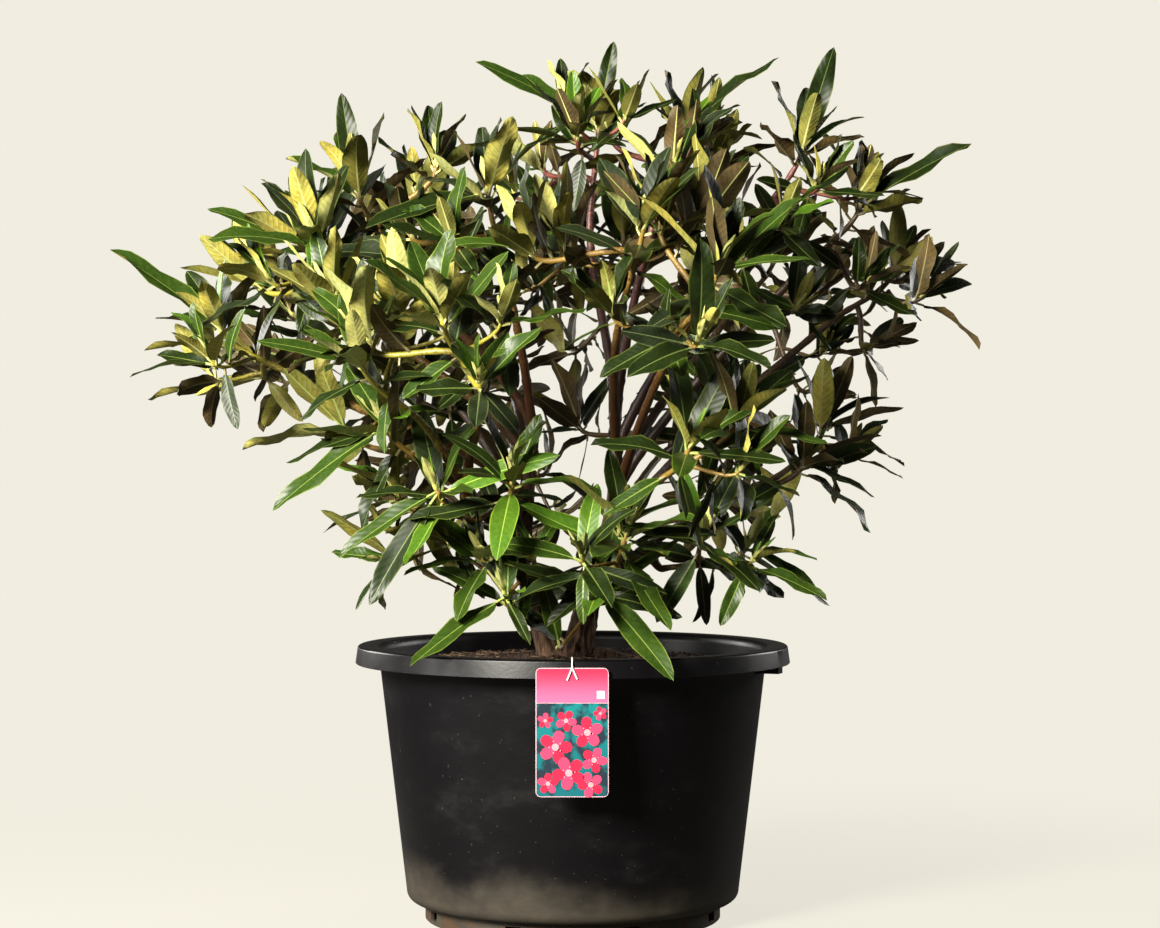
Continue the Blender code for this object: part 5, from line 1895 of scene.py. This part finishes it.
@dataclass
class PottingMix:
    """Mounded potting mix with crumbs, chips and fibres on top."""

    centre_z: float = 0.252
    edge_z: float = 0.243
    radius: float = 0.1805
    bottom_z: float = 0.225
    rings: int = 74
    sides: int = 180
    lump: float = 0.0026
    crumbs: int = 900
    crumb_sizes: tuple = (0.0015, 0.0058)
    clods: int = 70
    clod_sizes: tuple = (0.007, 0.015)
    clod_spread: tuple = (0.78, 0.78, 1.0)
    chips: int = 90
    chip_sizes: tuple = (0.005, 0.012)
    chip_form: tuple = (1.0, 0.5, 0.18)
    chip_share: float = 0.10
    fibres: int = 150
    fibre_halves: tuple = (0.005, 0.014)
    fibre_radii: tuple = (0.00040, 0.00022)
    random: Chance = field(default_factory=lambda: np.random.default_rng(5))
    soil: GrainFinish = GrainFinish("mix_soil", (0.016, 0.009, 0.006), (0.060, 0.034, 0.020), 420.0)
    chip: GrainFinish = GrainFinish("mix_chips", (0.090, 0.040, 0.022), (0.210, 0.110, 0.060), 300.0)
    fibre: GrainFinish = GrainFinish("mix_fibres", (0.110, 0.070, 0.040), (0.260, 0.180, 0.110), 600.0)

    def surface(self, x: Array, y: Array) -> Array:
        """Give the height of the mix.

        Formula: the centre height less the drop times the square of the radius share, plus two
        sizes of noise, which fade out at the wall.

        Args:
            x: Places along X.
            y: Places along Y.

        Returns:
            The heights.
        """
        share = np.hypot(x, y) / self.radius
        places = np.stack([x, y, np.zeros_like(x)], axis=-1)
        rough = self.lump * (0.6 * soft_noise(places, 28.0, 3) + 0.55 * soft_noise(places, 85.0, 4, 16)
                             + 0.35 * soft_noise(places, 210.0, 6, 20))
        return self.centre_z - (self.centre_z - self.edge_z) * share**2 + rough * (1.0 - share**8)

    def build(self) -> Piece:
        """Make the mix: the lumpy top closed by a hidden bottom, with what lies on it.

        Returns:
            The piece.
        """
        radius = self.radius * np.linspace(0.0, 1.0, self.rings)[1:] ** 0.9
        angles = even_angles(self.sides)
        x = (radius[::-1, None] * np.cos(angles)).ravel()
        y = (radius[::-1, None] * np.sin(angles)).ravel()
        top = np.column_stack([x, y, self.surface(x, y)])
        foot = np.column_stack([top[:self.sides, :2] * 0.985, np.full(self.sides, self.bottom_z)])
        poles = np.array([(0.0, 0.0, self.bottom_z), (0.0, 0.0, self.centre_z)])
        shell = Shell()
        shell.add_points(np.vstack([foot, top, poles]))
        count = self.sides * self.rings
        shell.add_faces(ring_faces(self.rings, self.sides))
        shell.add_faces(fan_faces(count, 0, self.sides, True))
        shell.add_faces(fan_faces(count + 1, count - self.sides, self.sides, False))
        self.add_crumbs(shell)
        self.add_clods(shell)
        self.add_chips(shell)
        self.add_fibres(shell)
        materials = [self.soil.material(), self.chip.material(), self.fibre.material()]
        return dress(shell.make("mix_surface", materials, 70.0), "potting_mix", "potting_mix")

    def scatter(self, count: int) -> Array:
        """Give random places on the mix, clear of the stems and of the wall.

        Args:
            count: Number of places.

        Returns:
            The places, one a row.
        """
        angle = self.random.uniform(0.0, FULL_TURN, count)
        radius = self.radius * 0.94 * np.sqrt(self.random.uniform(0.03, 1.0, count))
        x, y = radius * np.cos(angle), radius * np.sin(angle)
        return np.column_stack([x, y, self.surface(x, y)])

    def crumb(self) -> tuple[Array, list[Array]]:
        """Give an uneven crumb of unit size: a half sine turned about its axis, times a noise."""
        share = np.linspace(0.0, 1.0, 5)
        points, faces = lathe(np.column_stack([0.5 * np.sin(math.pi * share), share - 0.5]), 6)
        return points * (1.0 + 0.3 * soft_noise(points, 1.1, 8)[:, None]), faces

    def lumps(self, count: int, sizes: tuple, stretch: float) -> Array:
        """Give a random size for each lump of a count, stretched by chance along each axis."""
        size = self.random.uniform(*sizes, (count, 1, 1))
        return size * self.random.uniform(0.7, stretch, (count, 1, 3))

    def add_crumbs(self, shell: Shell) -> None:
        """Add crumbs, each turned and stretched by chance, and some of them of bark.

        Args:
            shell: The piece.
        """
        places = self.scatter(self.crumbs)
        sizes = self.lumps(self.crumbs, self.crumb_sizes, 1.2)
        turns = random_turns(self.random, self.crumbs)
        slots = (self.random.uniform(size=self.crumbs) < self.chip_share).astype(int)
        add_copies(shell, *self.crumb(), turns * sizes, places, slots)

    def add_clods(self, shell: Shell) -> None:
        """Add larger round clods, each a ball times two sizes of noise.

        Args:
            shell: The piece.
        """
        places = self.scatter(self.clods) * self.clod_spread
        sizes = self.lumps(self.clods, self.clod_sizes, 1.1)
        angle = math.pi * np.linspace(0.0, 1.0, 9)
        clod, faces = lathe(np.column_stack([0.5 * np.sin(angle), -0.5 * np.cos(angle)]), 10)
        uneven = 1.0 + 0.22 * soft_noise(clod, 1.4, 9) + 0.10 * soft_noise(clod, 4.0, 10)
        turns = random_turns(self.random, self.clods)
        add_copies(shell, clod * uneven[:, None], faces, turns * sizes, places)

    def add_chips(self, shell: Shell) -> None:
        """Add flat chips of bark, each spun about Z and then tilted by chance.

        Args:
            shell: The piece.
        """
        places = self.scatter(self.chips)
        sizes = np.array(self.chip_form) * self.random.uniform(*self.chip_sizes, (self.chips, 1, 1))
        tilt = random_turns(self.random, self.chips) * 0.25 + np.eye(3)
        spin = self.random.uniform(0.0, FULL_TURN, self.chips)
        turn = np.tile(np.eye(3), (self.chips, 1, 1))
        turn[:, 0, 0] = turn[:, 1, 1] = np.cos(spin)
        turn[:, 1, 0] = np.sin(spin)
        turn[:, 0, 1] = -turn[:, 1, 0]
        add_copies(shell, *self.crumb(), (tilt @ turn) * sizes, places, 1)

    def add_fibres(self, shell: Shell) -> None:
        """Add thin bent fibres that lie on the mix, each a parabola.

        Args:
            shell: The piece.
        """
        uniform = self.random.uniform
        t = np.linspace(-1.0, 1.0, 6)[:, None]
        for place in self.scatter(self.fibres):
            angle = uniform(0.0, FULL_TURN)
            half = uniform(*self.fibre_halves)
            away = np.array((math.cos(angle), math.sin(angle), uniform(-0.1, 0.25))) * half
            bend = np.array((-away[1], away[0], uniform(0.0, 0.3) * half)) * uniform(-0.6, 0.6)
            places = place + UP * 0.0012 + away * t + bend * (1.0 - t**2)
            add_tube(shell, places, np.linspace(*self.fibre_radii, 6), 4, 0.0, 2)


@dataclass
class Label:
    """Hanging plastic label: a rosy head and a teal field with scattered plain blossoms."""

    width: float = 0.065
    height: float = 0.115
    top_z: float = 0.2575
    front_y: float = -0.2116
    border: float = 0.0007
    head_share: float = 0.27
    layer: float = 0.00012
    corner: float = 0.0035
    gap: float = 0.0005
    square: tuple = (0.022, 0.029, 0.0875, 0.0945)
    square_corner: float = 0.0004
    petals: int = 5
    blossoms: tuple = ((-0.0150, 0.0445, 0.0150), (0.0135, 0.0575, 0.0140), (-0.0030, 0.0215, 0.0150),
                       (0.0195, 0.0330, 0.0115), (-0.0215, 0.0120, 0.0095), (0.0165, 0.0110, 0.0115),
                       (-0.0055, 0.0680, 0.0095), (-0.0240, 0.0680, 0.0070), (0.0250, 0.0745, 0.0062))

    def at(self, x: Array, z: Array, layer: float) -> Array:
        """Give places on the face: x from its middle, z from its foot, raised by a count of layers."""
        y = np.full(np.shape(x), self.front_y - self.layer * layer)
        return np.column_stack([x, y, np.asarray(z) + self.top_z - self.height])

    def sheet(self, shell: Shell, outline: Array, layer: float, slot: int) -> None:
        """Add a thin raised sheet with an outline.

        Args:
            shell: The piece.
            outline: Points of the outline, round from +X towards +Z.
            layer: How many layers it is raised.
            slot: Material slot.
        """
        count = len(outline)
        front = self.at(outline[:, 0], outline[:, 1], layer)
        back = self.at(outline[:, 0], outline[:, 1], layer - 1.0)
        middle = outline.mean(axis=0, keepdims=True)
        poles = np.vstack([self.at(middle[:, 0], middle[:, 1], layer),
                           self.at(middle[:, 0], middle[:, 1], layer - 1.0)])
        first = shell.add_points(np.vstack([front, back, poles]))
        shell.add_faces(ring_faces(2, count, first)[:, ::-1], slot)
        shell.add_faces(fan_faces(first + 2 * count, first, count, False), slot)
        shell.add_faces(fan_faces(first + 2 * count + 1, first + count, count, True), slot)

    def box_outline(self, left: float, right: float, low: float, high: float, corners: tuple) -> Array:
        """Give a rectangle with rounded corners.

        Args:
            left: Its left side.
            right: Its right side.
            low: Its lower side.
            high: Its upper side.
            corners: Radius of each corner, from the upper right one round by the left.

        Returns:
            The points of the outline.
        """
        signs = ((right, high, -1, -1), (left, high, 1, -1), (left, low, 1, 1), (right, low, -1, 1))
        arcs = []
        for order, ((x, z, sx, sz), corner) in enumerate(zip(signs, corners)):
            radius = max(corner, 1e-5)
            start = 90.0 * order
            arcs.append(arc((x + sx * radius, z + sz * radius), radius, start, start + 90.0, 6))
        return np.vstack(arcs)

    def blossom(self, shell: Shell, x: float, z: float, radius: float, order: int) -> None:
        """Add one blossom: rounded petals, a paler throat and a ring of stamens.

        Args:
            shell: The piece.
            x: Its middle's place across the label.
            z: Its middle's height over the label's foot.
            radius: Its radius.
            order: Its number, which turns it and raises it over its neighbours.
        """
        angles = even_angles(10)
        for index in range(self.petals):
            turn = FULL_TURN * (index + 0.31 * order) / self.petals
            reach = 0.52 * radius
            long, wide = 0.50 * radius, 0.34 * radius * (1.0 + 0.25 * np.cos(angles))
            u, v = reach + long * np.cos(angles), wide * np.sin(angles)
            outline = np.column_stack([x + u * math.cos(turn) - v * math.sin(turn),
                                       z + u * math.sin(turn) + v * math.cos(turn)])
            self.sheet(shell, outline, 2.0 + 0.3 * (index % 2) + 0.1 * (order % 3), (index + order) % 2)
        throat = arc((x, z), 0.22 * radius, 0.0, 324.0, 10)
        self.sheet(shell, throat, 3.4, 2)
        for index in range(self.petals):
            turn = FULL_TURN * (index + 0.5 + 0.31 * order) / self.petals
            spot = arc((x + 0.36 * radius * math.cos(turn), z + 0.36 * radius * math.sin(turn)),
                       0.045 * radius, 0.0, 300.0, 6)
            self.sheet(shell, spot, 3.6, 2)

    def build(self) -> list[Piece]:
        """Dress the label's node as a white blank and add its printed layers.

        Returns:
            The printed pieces.
        """
        paint_node("plant_label", PrintFinish("label_blank", (0.55, 0.36, 0.40)).material())
        paint_node("label_tie", PrintFinish("tie_plastic", (0.80, 0.74, 0.72), roughness=0.45).material())
        half, edge, corner = self.width / 2 - self.border, self.border, self.corner
        head_z = self.height * (1.0 - self.head_share)
        foot = self.top_z - self.height
        head = PrintFinish("label_head", (0.40, 0.020, 0.055), (0.56, 0.098, 0.205),
                           self.top_z, foot + head_z)
        field_ink = PrintFinish("label_field", (0.006, 0.170, 0.170), (0.006, 0.095, 0.115),
                                self.top_z, foot, (0.012, 0.022, 0.032))
        upper = self.box_outline(-half, half, head_z, self.height - edge, (corner, corner, 0.0, 0.0))
        lower = self.box_outline(-half, half, edge, head_z - self.gap, (0.0, 0.0, corner, corner))
        shell = Shell()
        self.sheet(shell, upper, 1.0, 0)
        self.sheet(shell, lower, 1.0, 1)
        printed = shell.make("label_print", [head.material(), field_ink.material()], 30.0)
        shell = Shell()
        for order, (x, z, size) in enumerate(self.blossoms):
            self.blossom(shell, x, z, size, order)
        self.sheet(shell, self.box_outline(*self.square, (self.square_corner,) * 4), 2.0, 3)
        inks = [PrintFinish("petal_rose", (0.58, 0.020, 0.062), (0.50, 0.014, 0.045)),
                PrintFinish("petal_pink", (0.62, 0.050, 0.125), (0.60, 0.040, 0.100)),
                PrintFinish("petal_throat", (0.70, 0.24, 0.27)),
                PrintFinish("label_square", (0.66, 0.56, 0.56))]
        blossoms = shell.make("label_blossoms", [ink.material() for ink in inks], 30.0)
        return [dress(printed, "label_face"), dress(blossoms, "label_face")]


def paint_node(name: str, material: Material) -> None:
    """Give a node that stays its own material."""
    materials = frame["nodes"][name].data.materials
    materials.clear()
    materials.append(material)


# Floor, lights and camera

@dataclass
class Studio:
    """Pale floor, soft lights and the camera at the photograph's height and angle."""

    camera_place: Colour = (0.007, -2.5, 0.439)
    lens: float = 79.8
    cream: Colour = (0.879, 0.847, 0.745)
    glow: float = 0.06
    floor_radius: float = 30.0
    floor_sides: int = 96
    target: Colour = (0.0, 0.0, 0.50)

    def floor(self) -> None:
        """Make the floor: a wide disc, pale, that fades to the colour of the surroundings."""
        shell = Shell()
        angles, sides = even_angles(self.floor_sides), self.floor_sides
        rim = np.column_stack([np.cos(angles), np.sin(angles), np.zeros(sides)]) * self.floor_radius
        first = shell.add_points(np.vstack([rim, (0.0, 0.0, 0.0)]))
        shell.add_faces(fan_faces(sides, first, sides, False))
        wiring = Wiring("floor_cream", 0.9, 0.1)
        distance = wiring.node("ShaderNodeVectorMath", Vector=wiring.place())
        distance.operation = "LENGTH"
        far = wiring.span(distance.outputs["Value"], 0.3, 1.3, 0.86, 1.0)
        wiring.colour(scaled(self.cream, 0.55))
        seen = wiring.tree.nodes.new("ShaderNodeLightPath").outputs["Is Camera Ray"]
        strength = wiring.span(seen, 0.0, 1.0, self.glow, 1.0)
        glow = wiring.node("ShaderNodeEmission", Color=self.cream, Strength=strength)
        blend = wiring.node("ShaderNodeMixShader", Fac=far)
        wiring.put(wiring.shader.outputs[0], blend.inputs[1])
        wiring.put(glow.outputs[0], blend.inputs[2])
        output = wiring.tree.nodes["Material Output"]
        wiring.put(blend.outputs[0], output.inputs["Surface"])
        shell.make("floor", [wiring.material], 30.0)

    def world(self) -> None:
        """Make the surroundings: cream to the eye, dimmer as a light."""
        world = bpy.data.worlds.new("studio")
        world.use_nodes = True
        bpy.context.scene.world = world
        nodes, links = world.node_tree.nodes, world.node_tree.links
        seen = nodes["Background"]
        seen.inputs["Color"].default_value = (*self.cream, 1.0)
        dim = nodes.new("ShaderNodeBackground")
        dim.inputs["Color"].default_value = (*self.cream, 1.0)
        dim.inputs["Strength"].default_value = self.glow
        path = nodes.new("ShaderNodeLightPath")
        blend = nodes.new("ShaderNodeMixShader")
        links.new(path.outputs["Is Camera Ray"], blend.inputs["Fac"])
        links.new(dim.outputs[0], blend.inputs[1])
        links.new(seen.outputs[0], blend.inputs[2])
        links.new(blend.outputs[0], nodes["World Output"].inputs["Surface"])

    def lamp(self, name: str, place: Colour, size: float, power: float, colour: Colour) -> None:
        """Add a square soft lamp that points at the shrub.

        Args:
            name: Name of the lamp.
            place: Where it stands.
            size: Its side.
            power: Its power in watts.
            colour: Its colour.
        """
        data = bpy.data.lights.new(name, "AREA")
        data.size = size
        data.energy = power
        data.color = colour
        lamp = bpy.data.objects.new(name, data)
        lamp.location = place
        lamp.rotation_mode = "QUATERNION"
        lamp.rotation_quaternion = aim(place, self.target)
        bpy.context.scene.collection.objects.link(lamp)

    def build(self) -> None:
        """Make the floor, the lights and the camera."""
        self.floor()
        self.world()
        self.lamp("key", (-1.50, -2.10, 1.40), 0.75, 322.0, (1.0, 0.96, 0.86))
        self.lamp("side", (-2.5, -0.9, 0.55), 0.7, 30.0, (1.0, 0.98, 0.94))
        self.lamp("fill", (2.2, -1.9, 1.3), 1.6, 3.0, (1.0, 0.97, 0.92))
        self.lamp("back_left", (-2.2, 1.9, 1.2), 1.2, 54.0, (1.0, 0.98, 0.94))
        self.lamp("back_right", (2.3, 1.7, 1.2), 1.2, 46.0, (1.0, 0.98, 0.94))
        data = bpy.data.cameras.new("camera")
        data.lens = self.lens
        data.sensor_width = 36.0
        camera = bpy.data.objects.new("camera", data)
        camera.location = self.camera_place
        camera.rotation_euler = (math.radians(90.0), 0.0, 0.0)
        bpy.context.scene.collection.objects.link(camera)
        bpy.context.scene.camera = camera
        bpy.context.scene.view_settings.view_transform = "Standard"


def aim(place: Colour, target: Colour) -> tuple[float, float, float, float]:
    """Give the turn that points a lamp's -Z from a place to a target.

    Formula: a turn about Z by the heading of the line, after one about X by its height.

    Args:
        place: Where the lamp stands.
        target: Where it points.

    Returns:
        The turn as a quaternion, w first.
    """
    away = np.array(place) - np.array(target)
    spin = math.atan2(away[0], -away[1]) / 2.0
    tip = math.acos(away[2] / np.linalg.norm(away)) / 2.0
    cz, sz, cx, sx = math.cos(spin), math.sin(spin), math.cos(tip), math.sin(tip)
    return cz * cx, cz * sx, sz * sx, sz * cx


def main() -> None:
    """Build every sub-assembly in order and report its pieces."""
    logging.basicConfig(level=logging.INFO, format="%(name)s: %(message)s")
    sprays = [*FRONT_SPRAYS, *(spray for ring in BACK_RINGS for spray in ring.sprays())]
    limbs = Limbs()
    limbs.grow(sprays)
    crown = Crown(limbs)
    crown.grow(sprays)
    pieces = [Pot().build(), PottingMix().build(), *Label().build()]
    pieces += [*Bark(limbs).build(sprays), *crown.build()]
    Studio().build()
    LOG.info("%d pieces, %d leaves", len(pieces), sum(len(mass.leaves) for mass in crown.masses))


if __name__ == "__main__":
    main()
